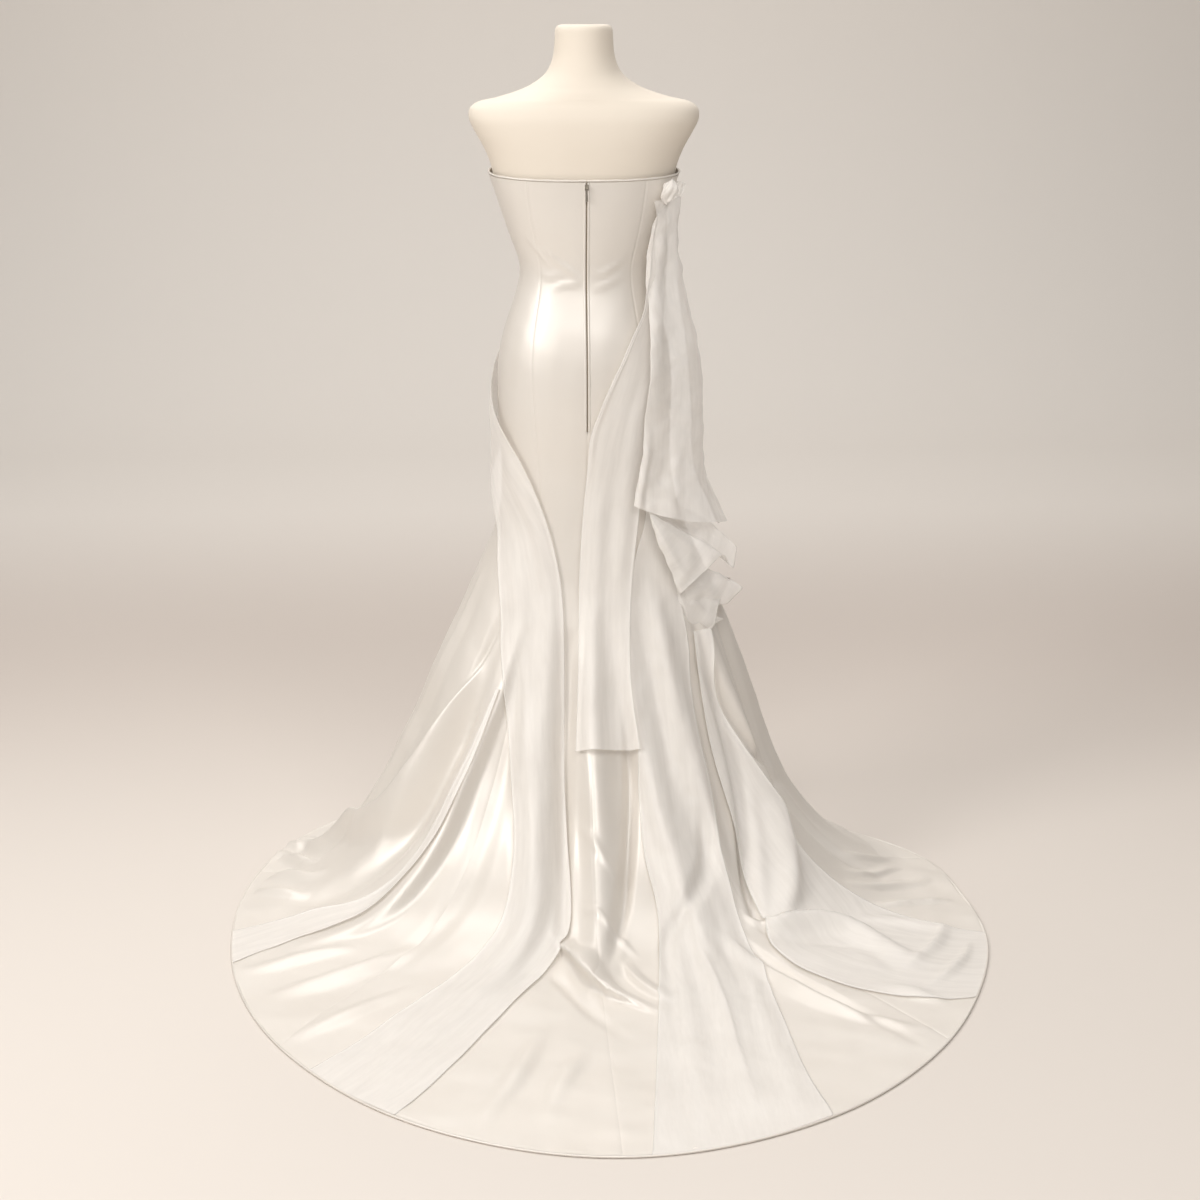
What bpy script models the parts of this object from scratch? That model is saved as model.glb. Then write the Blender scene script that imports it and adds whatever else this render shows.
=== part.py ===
"""Strapless satin wedding dress with organza drapery, on a limbless dress form.

Metres, +Z up. The form stands on the floor at z = 0 with its pole on the Z axis. The dress
faces -Y, its train runs towards +Y, and +X is the wearer's left.

The gown is one parametric skin. A direction is an angle in degrees, 0 at the centre back,
+90 at the wearer's left and 180 at the front. A level is a row number in the section tables,
counted from the top edge to the hem, and may lie between rows.
"""

import math

import bmesh
import bpy
import numpy as np

# Driving dimensions.
SATIN_WALL = 0.0016
ORGANZA_WALL = 0.0010
SEAM_GAP = 0.0004
FLOOR_CLEARANCE = 0.0005
ZIP_SLOT = 0.0034
NECK_TOP = 1.551

# Gown sections above the floor: height of the row, reach to the wearer's left and right, to
# the back and to the front, roundness (2 is an ellipse), and how far the front stands higher.
SECTIONS = [
    # height left   right  back   front  power rise
    (1.288, 0.168, 0.168, 0.100, 0.112, 2.20, 0.040),
    (1.250, 0.153, 0.153, 0.098, 0.130, 2.15, 0.012),
    (1.212, 0.140, 0.140, 0.092, 0.127, 2.10, 0.000),
    (1.170, 0.124, 0.124, 0.084, 0.108, 2.05, 0.000),
    (1.130, 0.111, 0.111, 0.078, 0.092, 2.00, 0.000),
    (1.085, 0.122, 0.122, 0.086, 0.095, 2.00, 0.000),
    (1.035, 0.141, 0.141, 0.101, 0.103, 2.05, 0.000),
    (0.980, 0.155, 0.155, 0.114, 0.109, 2.10, 0.000),
    (0.915, 0.157, 0.157, 0.118, 0.110, 2.15, 0.000),
    (0.840, 0.153, 0.154, 0.113, 0.109, 2.15, 0.000),
    (0.765, 0.149, 0.154, 0.108, 0.108, 2.15, 0.000),
    (0.690, 0.152, 0.172, 0.110, 0.112, 2.15, 0.000),
    (0.610, 0.180, 0.208, 0.121, 0.124, 2.15, 0.000),
    (0.525, 0.216, 0.243, 0.141, 0.142, 2.20, 0.000),
    (0.435, 0.252, 0.272, 0.168, 0.164, 2.25, 0.000),
    (0.345, 0.286, 0.298, 0.202, 0.192, 2.30, 0.000),
    (0.255, 0.326, 0.327, 0.243, 0.226, 2.35, 0.000),
    (0.170, 0.366, 0.364, 0.292, 0.264, 2.35, 0.000),
    (0.100, 0.412, 0.418, 0.350, 0.302, 2.30, 0.000),
    (0.048, 0.468, 0.480, 0.420, 0.340, 2.25, 0.000),
    (0.020, 0.520, 0.540, 0.500, 0.370, 2.20, 0.000),
]

# The train on the floor: share of the way from the last section to the hem, and height.
TRAIN = [
    # share  height
    (0.20, 0.0110),
    (0.42, 0.0070),
    (0.64, 0.0048),
    (0.84, 0.0034),
    (1.00, 0.0024),
]

# Hem outline round the axis: direction in degrees and radius.
HEM = [
    (-180, 0.425), (-155, 0.440), (-130, 0.475), (-112, 0.520), (-100, 0.590), (-90, 0.650),
    (-75, 0.705), (-60, 0.790), (-45, 0.880), (-30, 0.998), (-15, 1.112), (0, 1.166),
    (15, 1.095), (30, 0.962), (45, 0.832), (60, 0.727), (75, 0.656), (90, 0.612),
    (105, 0.580), (125, 0.545), (150, 0.465), (180, 0.425),
]  # fmt: skip

# Main folds: direction where the fold starts and where it ends, first and last level, half
# width in metres and height (negative is a trough).
FOLDS = [
    # start  end  first last half_width height
    (86, 98, 11.0, 20.5, 0.050, 0.018),
    (62, 82, 11.5, 21.5, 0.048, 0.030),
    (76, 90, 12.0, 20.0, 0.030, -0.022),
    (42, 62, 12.0, 22.5, 0.055, 0.026),
    (52, 73, 12.5, 21.0, 0.035, -0.022),
    (22, 40, 12.5, 22.5, 0.050, 0.016),
    (32, 51, 13.0, 21.5, 0.035, -0.016),
    (-3, -8, 13.0, 20.5, 0.040, 0.026),
    (12, 14, 13.5, 21.0, 0.040, -0.016),
    (-24, -22, 13.0, 22.0, 0.045, 0.016),
    (-12, -15, 13.5, 21.0, 0.030, -0.016),
    (-46, -40, 12.5, 22.5, 0.045, 0.020),
    (-36, -31, 13.0, 22.0, 0.035, -0.016),
    (-68, -62, 12.0, 21.5, 0.050, 0.026),
    (-58, -51, 12.5, 21.5, 0.035, -0.020),
    (-90, -92, 11.5, 21.0, 0.050, 0.014),
    (-79, -77, 12.0, 20.5, 0.032, -0.022),
    (112, 116, 12.5, 20.5, 0.055, 0.020),
    (138, 142, 13.0, 20.5, 0.055, 0.018),
    (165, 164, 13.0, 20.5, 0.055, 0.018),
    (-168, -167, 13.0, 20.5, 0.055, 0.018),
    (-141, -143, 13.0, 20.5, 0.055, 0.018),
    (-115, -117, 12.5, 20.5, 0.055, 0.020),
]

# Seams: name, direction at the top edge, at the waist, at the hip and at the hem.
SEAMS = [
    ("front_princess_right", -128, -132, -134, -134),
    ("side_right", -90, -90, -90, -90),
    ("back_princess_right", -52, -54, -45, -34),
    ("centre_back", 0, 0, 0, 0),
    ("back_princess_left", 52, 54, 45, 34),
    ("side_left", 90, 90, 90, 90),
    ("front_princess_left", 128, 132, 134, 134),
]
SEAM_LEVELS = (0.0, 4.0, 8.0, 25.0)

# Gown panels: name, columns across.
PANELS = [
    ("side_front_right", 6),
    ("side_back_right", 7),
    ("centre_back_right", 7),
    ("centre_back_left", 7),
    ("side_back_left", 7),
    ("side_front_left", 6),
    ("centre_front", 7),
]
PANEL_LEVELS = [0, 1, 2, 3, 4, 5, 6, 7, 8, 8.84, 8.92, 10, 11, 12, 13, 14, 15, 16, 17, 18, 19,
                20, 21, 22.4, 23.8, 25]  # fmt: skip
LAST_LEVEL = len(SECTIONS) + len(TRAIN) - 1


def smooth_step(value):
    """0 below 0, 1 above 1, with level ends."""
    t = np.clip(value, 0.0, 1.0)
    return t * t * (3.0 - 2.0 * t)


def through_points(positions, values, at):
    """Smooth curve through the values at increasing positions, read at the given places."""
    positions = np.asarray(positions, float)
    values = np.asarray(values, float)
    at = np.clip(np.asarray(at, float), positions[0], positions[-1])
    steps = np.diff(positions)
    slopes = np.diff(values, axis=0) / steps.reshape((-1,) + (1,) * (values.ndim - 1))
    tangents = np.empty_like(values)
    tangents[1:-1] = 0.5 * (slopes[1:] + slopes[:-1])
    tangents[0], tangents[-1] = slopes[0], slopes[-1]
    k = np.clip(np.searchsorted(positions, at, side="right") - 1, 0, len(steps) - 1)
    h = steps[k]
    t = (at - positions[k]) / h
    return (
        (1 + 2 * t) * (1 - t) ** 2 * values[k]
        + t * (1 - t) ** 2 * h * tangents[k]
        + t * t * (3 - 2 * t) * values[k + 1]
        + t * t * (t - 1) * h * tangents[k + 1]
    )


def hem_radius(direction):
    """Radius of the hem on the floor."""
    wrapped = (np.asarray(direction, float) + 180.0) % 360.0 - 180.0
    return through_points([row[0] for row in HEM], [row[1] for row in HEM], wrapped)


def section_radius(row, direction):
    """Radius of one section of the gown in a direction."""
    _, left, right, back, front, power, _ = row
    angle = np.radians(direction)
    across, along = np.sin(angle), np.cos(angle)
    side = np.where(across > 0, left, right)
    depth = np.where(along > 0, back, front)
    return (np.abs(across / side) ** power + np.abs(along / depth) ** power) ** (-1.0 / power)


def row_of_skin(index, direction):
    """Radius and height of one whole row of the tables in each direction."""
    if index < len(SECTIONS):
        row = SECTIONS[index]
        rise = row[6] * (0.5 - 0.5 * np.cos(np.radians(direction))) ** 2
        return section_radius(row, direction), row[0] + rise
    share, height = TRAIN[index - len(SECTIONS)]
    start = section_radius(SECTIONS[-1], direction)
    radius = start + share * (hem_radius(direction) - start)
    return radius, np.full_like(radius, height)


def skin(direction, level):
    """Points of the smooth skin, before its folds."""
    direction, level = np.broadcast_arrays(np.asarray(direction, float), np.asarray(level, float))
    level = np.clip(level, 0.0, LAST_LEVEL)
    k = np.clip(np.floor(level).astype(int), 0, LAST_LEVEL - 1)
    t = level - k
    weights = (
        -0.5 * t + t * t - 0.5 * t**3,
        1.0 - 2.5 * t * t + 1.5 * t**3,
        0.5 * t + 2.0 * t * t - 1.5 * t**3,
        -0.5 * t * t + 0.5 * t**3,
    )
    radius = np.zeros_like(level)
    height = np.zeros_like(level)
    for index in range(LAST_LEVEL + 1):
        share = np.zeros_like(level)
        for offset, weight in zip((-1, 0, 1, 2), weights):
            share += np.where(np.clip(k + offset, 0, LAST_LEVEL) == index, weight, 0.0)
        row_radius, row_height = row_of_skin(index, direction)
        radius += share * row_radius
        height += share * row_height
    angle = np.radians(direction)
    return np.stack([radius * np.sin(angle), radius * np.cos(angle), height], axis=-1)


def outward(direction, level):
    """Unit normals of the smooth skin, away from the body."""
    step_d, step_l = 0.5, 0.04
    around = skin(direction + step_d, level) - skin(direction - step_d, level)
    down = skin(direction, level + step_l) - skin(direction, level - step_l)
    normal = np.cross(around, down)
    return normal / np.maximum(np.linalg.norm(normal, axis=-1, keepdims=True), 1e-9)


def fold_height(direction, level):
    """How far the folds stand off the smooth skin."""
    radius = np.linalg.norm(skin(direction, level)[..., :2], axis=-1)
    total = np.zeros_like(radius)
    for start, end, first, last, half_width, height in FOLDS:
        along = np.clip((level - first) / (last - first), 0.0, 1.0)
        centre = start + (end - start) * along
        apart = (np.asarray(direction) - centre + 180.0) % 360.0 - 180.0
        side = np.clip(np.radians(apart) * radius / half_width, -1.0, 1.0)
        envelope = smooth_step(along / 0.35) * smooth_step((1.0 - along) / 0.45)
        total += height * envelope * np.cos(0.5 * math.pi * side) ** 2
    return total


def gown(direction, level, lift=0.0):
    """Points on the outside of the satin, or a distance above it."""
    direction, level = np.broadcast_arrays(np.asarray(direction, float), np.asarray(level, float))
    height = np.asarray(fold_height(direction, level) + lift)
    points = skin(direction, level) + outward(direction, level) * height[..., None]
    lowest = FLOOR_CLEARANCE + SATIN_WALL + np.asarray(lift)
    points[..., 2] = np.maximum(points[..., 2], lowest)
    return points


# Organza pieces laid on the gown: level, direction of the edge nearer the wearer's right, of
# the edge nearer the left, and how far each edge stands off the satin.
LEFT_WIDE_PANEL = [
    # level right left lift_right lift_left
    (6.6, 112, 132, 0.006, 0.006),
    (7.6, 92, 132, 0.010, 0.008),
    (8.6, 71, 128, 0.018, 0.014),
    (9.5, 55, 114, 0.014, 0.022),
    (10.4, 42, 93, 0.009, 0.020),
    (11.2, 33, 76, 0.008, 0.010),
    (12.5, 19.5, 60, 0.008, 0.008),
    (13.5, 15.8, 51, 0.008, 0.008),
    (14.5, 13.7, 42.5, 0.008, 0.008),
    (15.8, 11.5, 33, 0.008, 0.008),
    (17.4, 8.0, 24.6, 0.008, 0.008),
    (18.5, 6.2, 22.8, 0.008, 0.008),
    (19.5, 7.2, 22.2, 0.007, 0.007),
    (20.5, 10.3, 24.3, 0.005, 0.005),
    (22.0, 14.3, 26.2, 0.003, 0.003),
    (23.5, 16.3, 27.3, 0.002, 0.002),
    (25.0, 17.9, 28.2, 0.001, 0.001),
]
LEFT_NARROW_STRIP = [
    (14.6, 45.0, 47.0, 0.007, 0.007),
    (15.6, 45.0, 48.0, 0.008, 0.008),
    (16.8, 45.5, 49.5, 0.010, 0.010),
    (18.0, 48.0, 52.5, 0.011, 0.011),
    (19.2, 51.7, 57.5, 0.011, 0.011),
    (20.3, 54.5, 62.5, 0.010, 0.010),
    (21.6, 56.3, 65.0, 0.006, 0.006),
    (23.2, 56.3, 65.5, 0.002, 0.002),
    (25.0, 54.7, 65.3, 0.001, 0.001),
]
CENTRE_TAIL = [
    (0.9, -66, -58, 0.010, 0.010),
    (1.6, -72, -62, 0.014, 0.014),
    (2.5, -76, -62, 0.022, 0.020),
    (3.3, -80, -62, 0.032, 0.028),
    (4.2, -82, -60, 0.034, 0.032),
    (5.0, -80, -56, 0.026, 0.024),
    (5.6, -74, -50, 0.018, 0.018),
    (6.3, -66, -39, 0.013, 0.013),
    (7.1, -60, -27, 0.012, 0.010),
    (7.8, -57, -16.3, 0.012, 0.008),
    (8.4, -55, -8.5, 0.012, 0.007),
    (8.9, -54, -2.5, 0.012, 0.007),
    (9.6, -50, 0.0, 0.012, 0.008),
    (10.5, -44, 3.4, 0.014, 0.009),
    (11.4, -38.5, 6.0, 0.016, 0.010),
    (12.3, -32, 7.2, 0.018, 0.012),
    (13.2, -26.5, 7.2, 0.019, 0.014),
    (14.2, -22.5, 7.0, 0.020, 0.016),
    (15.5, -21.0, 7.0, 0.022, 0.018),
]
LONG_PANEL = [
    (10.2, -60, -50, 0.006, 0.006),
    (11.0, -60, -47, 0.007, 0.007),
    (11.8, -59, -37, 0.007, 0.007),
    (12.7, -58, -29.5, 0.008, 0.008),
    (13.6, -56, -24.5, 0.008, 0.008),
    (14.4, -51, -22.2, 0.008, 0.008),
    (15.3, -46.5, -21.3, 0.008, 0.008),
    (16.2, -44, -18.2, 0.008, 0.008),
    (17.4, -39, -15.8, 0.008, 0.008),
    (18.4, -36, -15.6, 0.008, 0.008),
    (19.5, -31.5, -13, 0.007, 0.007),
    (20.7, -27.5, -9.3, 0.005, 0.005),
    (22.0, -23, -6.0, 0.003, 0.003),
    (23.4, -19.5, -3.7, 0.002, 0.002),
    (25.0, -16.9, -2.0, 0.001, 0.001),
]
RIGHT_STRIP = [
    (13.4, -66, -58.5, 0.014, 0.014),
    (14.6, -62, -55, 0.017, 0.017),
    (15.7, -62, -49, 0.019, 0.018),
    (17.0, -63, -46.5, 0.019, 0.018),
    (18.2, -63, -42, 0.016, 0.016),
    (19.2, -62.5, -38, 0.012, 0.012),
    (20.3, -62.3, -33, 0.008, 0.008),
    (21.5, -61.5, -33, 0.005, 0.005),
    (22.7, -61, -36, 0.003, 0.003),
    (23.8, -61.3, -39.5, 0.002, 0.002),
    (25.0, -61.8, -43.7, 0.001, 0.001),
]
CASCADE_UPPER = [
    (0.9, -90, -70, 0.018, 0.012),
    (2.0, -102, -70, 0.036, 0.020),
    (3.0, -106, -72, 0.062, 0.040),
    (4.0, -108, -72, 0.080, 0.046),
    (5.0, -108, -68, 0.070, 0.036),
    (6.0, -108, -62, 0.062, 0.026),
    (7.0, -108, -57, 0.060, 0.022),
    (8.0, -108, -53, 0.064, 0.022),
    (9.0, -107, -50, 0.068, 0.024),
    (10.0, -106, -46, 0.066, 0.026),
    (10.6, -105, -43, 0.068, 0.028),
    (11.2, -104, -46, 0.072, 0.034),
]
CASCADE_MIDDLE = [
    (10.2, -100, -52, 0.040, 0.018),
    (11.0, -102, -50, 0.044, 0.018),
    (11.7, -101, -53, 0.052, 0.022),
    (12.4, -98, -57, 0.058, 0.026),
    (12.9, -95, -62, 0.056, 0.030),
]
CASCADE_LOWER = [
    (11.8, -92, -58, 0.022, 0.015),
    (12.6, -90, -59, 0.026, 0.016),
    (13.2, -84, -60, 0.034, 0.018),
    (13.8, -74, -61, 0.034, 0.020),
    (14.1, -68, -62, 0.028, 0.020),
]

# Pieces: name, table, columns, levels along, number of ripples across and their height.
ORGANZA = [
    ("organza_left_wide", LEFT_WIDE_PANEL, 6, 22, 1.5, 0.004),
    ("organza_left_narrow", LEFT_NARROW_STRIP, 3, 14, 0.0, 0.0),
    ("organza_centre_tail", CENTRE_TAIL, 6, 20, 1.0, 0.003),
    ("organza_long_panel", LONG_PANEL, 6, 22, 1.5, 0.003),
    ("organza_right_strip", RIGHT_STRIP, 5, 14, 0.0, 0.0),
    ("organza_cascade_upper", CASCADE_UPPER, 9, 13, 3.0, 0.010),
    ("organza_cascade_middle", CASCADE_MIDDLE, 10, 7, 4.0, 0.009),
    ("organza_cascade_lower", CASCADE_LOWER, 8, 6, 3.0, 0.005),
]

# Dress form: height, half width, depth to the back and to the front, roundness.
FORM = [
    (0.860, 0.142, 0.104, 0.098, 2.15),
    (0.915, 0.150, 0.111, 0.102, 2.15),
    (0.980, 0.148, 0.107, 0.102, 2.10),
    (1.035, 0.134, 0.094, 0.096, 2.05),
    (1.085, 0.115, 0.079, 0.088, 2.00),
    (1.130, 0.104, 0.071, 0.085, 2.00),
    (1.170, 0.117, 0.077, 0.101, 2.05),
    (1.212, 0.133, 0.085, 0.119, 2.10),
    (1.250, 0.146, 0.091, 0.121, 2.15),
    (1.288, 0.158, 0.093, 0.109, 2.20),
    (1.317, 0.165, 0.095, 0.100, 2.25),
    (1.345, 0.177, 0.097, 0.094, 2.30),
    (1.368, 0.190, 0.097, 0.090, 2.35),
    (1.392, 0.201, 0.094, 0.084, 2.40),
    (1.408, 0.200, 0.088, 0.077, 2.35),
    (1.418, 0.190, 0.083, 0.071, 2.25),
    (1.428, 0.152, 0.079, 0.065, 2.10),
    (1.437, 0.122, 0.075, 0.060, 2.00),
    (1.448, 0.095, 0.069, 0.056, 2.00),
    (1.470, 0.066, 0.060, 0.051, 2.00),
    (1.495, 0.0545, 0.054, 0.048, 2.00),
    (1.529, 0.0505, 0.051, 0.047, 2.00),
    (1.543, 0.0495, 0.050, 0.046, 2.00),
    (1.549, 0.0460, 0.0465, 0.043, 2.00),
    (NECK_TOP, 0.0380, 0.0385, 0.036, 2.00),
]
FORM_SIDES = 40

POLE_RADIUS = 0.016
BASE_RADIUS = 0.155
BASE_HEIGHT = 0.022

# Zip slider and pull tab, from the pin that the tab turns on.
PIN_HEIGHT = 1.2795
PIN_OFF_SATIN = 0.0056
PIN_RADIUS = 0.0007
EYE_RADIUS = 0.00115
TAB_EYE_OUTER = 0.0024
TAB_LENGTH = 0.0245
TAB_WIDTH = 0.0044
TAB_THICKNESS = 0.0011
LUG_GAP = 0.0040
LUG_THICKNESS = 0.0009


def clear_scene():
    """Remove everything that the scene holds."""
    for item in list(bpy.data.objects):
        bpy.data.objects.remove(item, do_unlink=True)


def material(name, colour, roughness, metallic=0.0):
    """A plain finish for one kind of piece."""
    finish = bpy.data.materials.new(name)
    finish.use_nodes = True
    shader = finish.node_tree.nodes["Principled BSDF"]
    shader.inputs["Base Color"].default_value = (*colour, 1.0)
    shader.inputs["Roughness"].default_value = roughness
    shader.inputs["Metallic"].default_value = metallic
    finish.diffuse_color = (*colour, 1.0)
    return finish


def add_mesh(name, vertices, faces, finish, smooth=True):
    """One named object from points and faces, with its faces turned outwards."""
    mesh = bpy.data.meshes.new(name)
    mesh.from_pydata([tuple(map(float, p)) for p in vertices], [], faces)
    shape = bmesh.new()
    shape.from_mesh(mesh)
    bmesh.ops.recalc_face_normals(shape, faces=shape.faces)
    shape.to_mesh(mesh)
    shape.free()
    if smooth:
        mesh.shade_smooth()
        mesh.set_sharp_from_angle(angle=math.radians(50))
    mesh.materials.append(finish)
    item = bpy.data.objects.new(name, mesh)
    bpy.context.collection.objects.link(item)
    return item


def wall(name, front, back, finish):
    """A closed wall between two grids of points, level by level."""
    levels, columns = front.shape[:2]
    points = np.concatenate([front.reshape(-1, 3), back.reshape(-1, 3)])
    offset = levels * columns

    def at(level, column, side):
        return side * offset + level * columns + column

    faces = []
    for i in range(levels - 1):
        for j in range(columns - 1):
            a, b, c, d = at(i, j, 0), at(i, j + 1, 0), at(i + 1, j + 1, 0), at(i + 1, j, 0)
            e, f, g, h = at(i, j, 1), at(i, j + 1, 1), at(i + 1, j + 1, 1), at(i + 1, j, 1)
            faces += [(a, b, c), (a, c, d), (e, g, f), (e, h, g)]
    for i in range(levels - 1):
        for j in (0, columns - 1):
            faces.append((at(i, j, 0), at(i + 1, j, 0), at(i + 1, j, 1), at(i, j, 1)))
    for j in range(columns - 1):
        for i in (0, levels - 1):
            faces.append((at(i, j, 0), at(i, j + 1, 0), at(i, j + 1, 1), at(i, j, 1)))
    return add_mesh(name, points, faces, finish)


def gown_normal(direction, level):
    """Unit normals of the gown with its folds."""
    step_d, step_l = 0.8, 0.06
    around = gown(direction + step_d, level) - gown(direction - step_d, level)
    down = gown(direction, level + step_l) - gown(direction, level - step_l)
    normal = np.cross(around, down)
    return normal / np.maximum(np.linalg.norm(normal, axis=-1, keepdims=True), 1e-9)


def grid_normal(points):
    """Unit normals of a grid of points, on the side away from the body."""
    down, across = np.gradient(points, axis=0), np.gradient(points, axis=1)
    normal = np.cross(across, down)
    return normal / np.maximum(np.linalg.norm(normal, axis=-1, keepdims=True), 1e-9)


def above_floor(points):
    """The same points, none lower than the underside of the cloth."""
    points[..., 2] = np.maximum(points[..., 2], FLOOR_CLEARANCE)
    return points


def seam_direction(index, level):
    """Direction of a seam at a level; the list of seams goes on round the body."""
    turns, row = divmod(index, len(SEAMS))
    angles = np.array(SEAMS[row][1:], float)
    return through_points(SEAM_LEVELS, angles, level) + 360.0 * turns


def move_edge(front, back, column, distance):
    """Draw one edge of a wall back along its own surface."""
    inner = 1 if column == 0 else -2
    step = front[:, inner] - front[:, column]
    step /= np.linalg.norm(step, axis=-1, keepdims=True)
    for grid in (front, back):
        grid[:, column] += step * np.reshape(distance, (-1, 1))


def make_gown_panels(satin):
    """The satin panels, each from the top edge to the hem."""
    levels = np.array(PANEL_LEVELS, float)
    zip_rows = levels < 8.9
    for index, (name, columns) in enumerate(PANELS):
        first = seam_direction(index, levels)[:, None]
        last = seam_direction(index + 1, levels)[:, None]
        direction = first + (last - first) * np.linspace(0.0, 1.0, columns + 1)[None, :]
        front = gown(direction, levels[:, None])
        back = above_floor(front - gown_normal(direction, levels[:, None]) * SATIN_WALL)
        for column, seam in ((0, index), (-1, index + 1)):
            gap = np.full(len(levels), 0.5 * SEAM_GAP)
            if SEAMS[seam % len(SEAMS)][0] == "centre_back":
                gap = np.where(zip_rows, 0.5 * ZIP_SLOT, gap)
            move_edge(front, back, column, gap)
        wall(f"gown_{name}", front, back, satin)


def make_top_binding(satin):
    """The narrow rolled band along the top edge, open at the zip."""
    direction = np.linspace(0.0, 360.0, 41)[None, :]
    base = gown(direction, 0.0)
    normal = gown_normal(direction, 0.0)
    rise = np.array([0.0060, 0.0030, 0.0004])[:, None, None] * np.array([0.0, 0.0, 1.0])
    front = base + rise + normal * np.array([0.0002, 0.0012, 0.0006])[:, None, None]
    back = base + rise - normal * np.array([0.0016, 0.0026, 0.0020])[:, None, None]
    for column in (0, -1):
        move_edge(front, back, column, 0.5 * ZIP_SLOT)
    wall("top_binding", front, back, satin)


def organza_grid(table, columns, levels, ripples, height):
    """Points of the underside of an organza piece."""
    rows = np.array(table, float)
    at = np.linspace(rows[0, 0], rows[-1, 0], levels + 1)
    right, left, lift_right, lift_left = (
        through_points(rows[:, 0], rows[:, k], at)[:, None] for k in (1, 2, 3, 4)
    )
    share = np.linspace(0.0, 1.0, columns + 1)[None, :]
    direction = right + (left - right) * share
    lift = lift_right + (lift_left - lift_right) * share
    along = (at[:, None] - rows[0, 0]) / (rows[-1, 0] - rows[0, 0])
    on_train = 1.0 - smooth_step((at[:, None] - 17.0) / 4.0)
    wave = 0.5 - 0.5 * np.cos(2.0 * math.pi * ripples * share)
    lift = lift + height * wave * smooth_step(along / 0.15) * on_train
    return gown(direction, at[:, None], lift)


def make_organza(organza):
    """The organza pieces that lie on the gown or stand off it."""
    for name, table, columns, levels, ripples, height in ORGANZA:
        under = organza_grid(table, columns, levels, ripples, height)
        over = under + grid_normal(under) * ORGANZA_WALL
        wall(name, over, under, organza)


def make_knot(organza):
    """The knot at the right of the back, and the small loop that shows behind it."""
    centre = gown(-66.0, 0.45, 0.0215)
    knot_size = np.array([0.020, 0.0165, 0.022])
    knot = ball("organza_knot", centre, knot_size, 12, 8, organza)
    knot.rotation_euler = (0.0, math.radians(12), math.radians(-24))
    loop_centre = gown(-88.0, 0.55, 0.010)
    loop = ball("organza_knot_loop", loop_centre, np.array([0.008, 0.010, 0.018]), 10, 8, organza)
    loop.rotation_euler = (math.radians(8), math.radians(-10), 0.0)


def ball(name, centre, size, around, down, finish):
    """A rounded lump of folded cloth with soft pleats."""
    vertices = [(0.0, 0.0, size[2])]
    for i in range(1, down):
        tilt = math.pi * i / down
        for j in range(around):
            turn = 2.0 * math.pi * j / around
            pleat = 1.0 - (0.08 if j % 2 else 0.0)
            vertices.append((
                size[0] * pleat * math.sin(tilt) * math.cos(turn),
                size[1] * pleat * math.sin(tilt) * math.sin(turn),
                size[2] * math.cos(tilt),
            ))
    vertices.append((0.0, 0.0, -size[2]))
    last = len(vertices) - 1
    faces = []
    for j in range(around):
        k = (j + 1) % around
        faces.append((0, 1 + j, 1 + k))
        faces.append((last, last - around + k, last - around + j))
        for i in range(down - 2):
            a, b = 1 + i * around + j, 1 + i * around + k
            faces.append((a, a + around, b + around, b))
    item = add_mesh(name, vertices, faces, finish)
    item.location = centre
    return item


def make_zip(satin, coil):
    """The closed zip down the centre back: its chain and the satin fold on each side."""
    levels = np.array([0.02, 1, 2, 3, 4, 5, 6, 7, 8, 8.8])[:, None]
    centre = gown(0.0, levels)
    half = 0.5 * ZIP_SLOT - SEAM_GAP
    across = np.array([half, -half])[None, :, None] * np.array([1.0, 0.0, 0.0])
    front = centre + across + np.array([0.0, -0.0002, 0.0])
    back = front + np.array([0.0, -0.0013, 0.0])
    wall("zip_chain", front, back, coil)
    fold_start, fold_end = 0.5 * ZIP_SLOT + 0.0001, 0.5 * ZIP_SLOT + 0.0036
    for side, name in ((1.0, "zip_fold_left"), (-1.0, "zip_fold_right")):
        reach = side * np.array([fold_start, fold_end])[None, :]
        direction = np.degrees(np.arctan2(reach, centre[..., 1]))
        under = gown(direction, levels, 0.0007)
        over = gown(direction, levels, 0.0015)
        wall(name, over, under, satin)


def box(name, low, high, finish):
    """A block between two corners."""
    corners = [(x, y, z) for x in (low[0], high[0]) for y in (low[1], high[1])
               for z in (low[2], high[2])]  # fmt: skip
    faces = [(0, 1, 3, 2), (4, 6, 7, 5), (0, 4, 5, 1), (2, 3, 7, 6), (0, 2, 6, 4), (1, 5, 7, 3)]
    return add_mesh(name, corners, faces, finish, smooth=False)


def round_bar(name, radius, length, sides, finish):
    """A bar along X, centred on the origin."""
    vertices, faces = [], []
    for x in (-0.5 * length, 0.5 * length):
        for k in range(sides):
            turn = 2.0 * math.pi * (k + 0.5) / sides
            vertices.append((x, radius * math.cos(turn), radius * math.sin(turn)))
    for k in range(sides):
        n = (k + 1) % sides
        faces.append((k, n, sides + n, sides + k))
    faces.append(tuple(range(sides)))
    faces.append(tuple(reversed(range(sides, 2 * sides))))
    return add_mesh(name, vertices, faces, finish)


def combine(item, other, operation):
    """Join another shape to an object, or cut it away, and keep the other as a hidden guide."""
    change = item.modifiers.new(operation.lower(), "BOOLEAN")
    change.operation = operation
    change.solver = "EXACT"
    change.object = other
    other.parent = item.parent
    other.hide_render = True
    other.display_type = "WIRE"


def pin_place():
    """The middle of the pin that the pull tab turns on."""
    level = (SECTIONS[0][0] - PIN_HEIGHT) / (SECTIONS[0][0] - SECTIONS[1][0])
    satin_face = float(gown(0.0, level)[1])
    return (0.0, satin_face + PIN_OFF_SATIN, PIN_HEIGHT)


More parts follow.
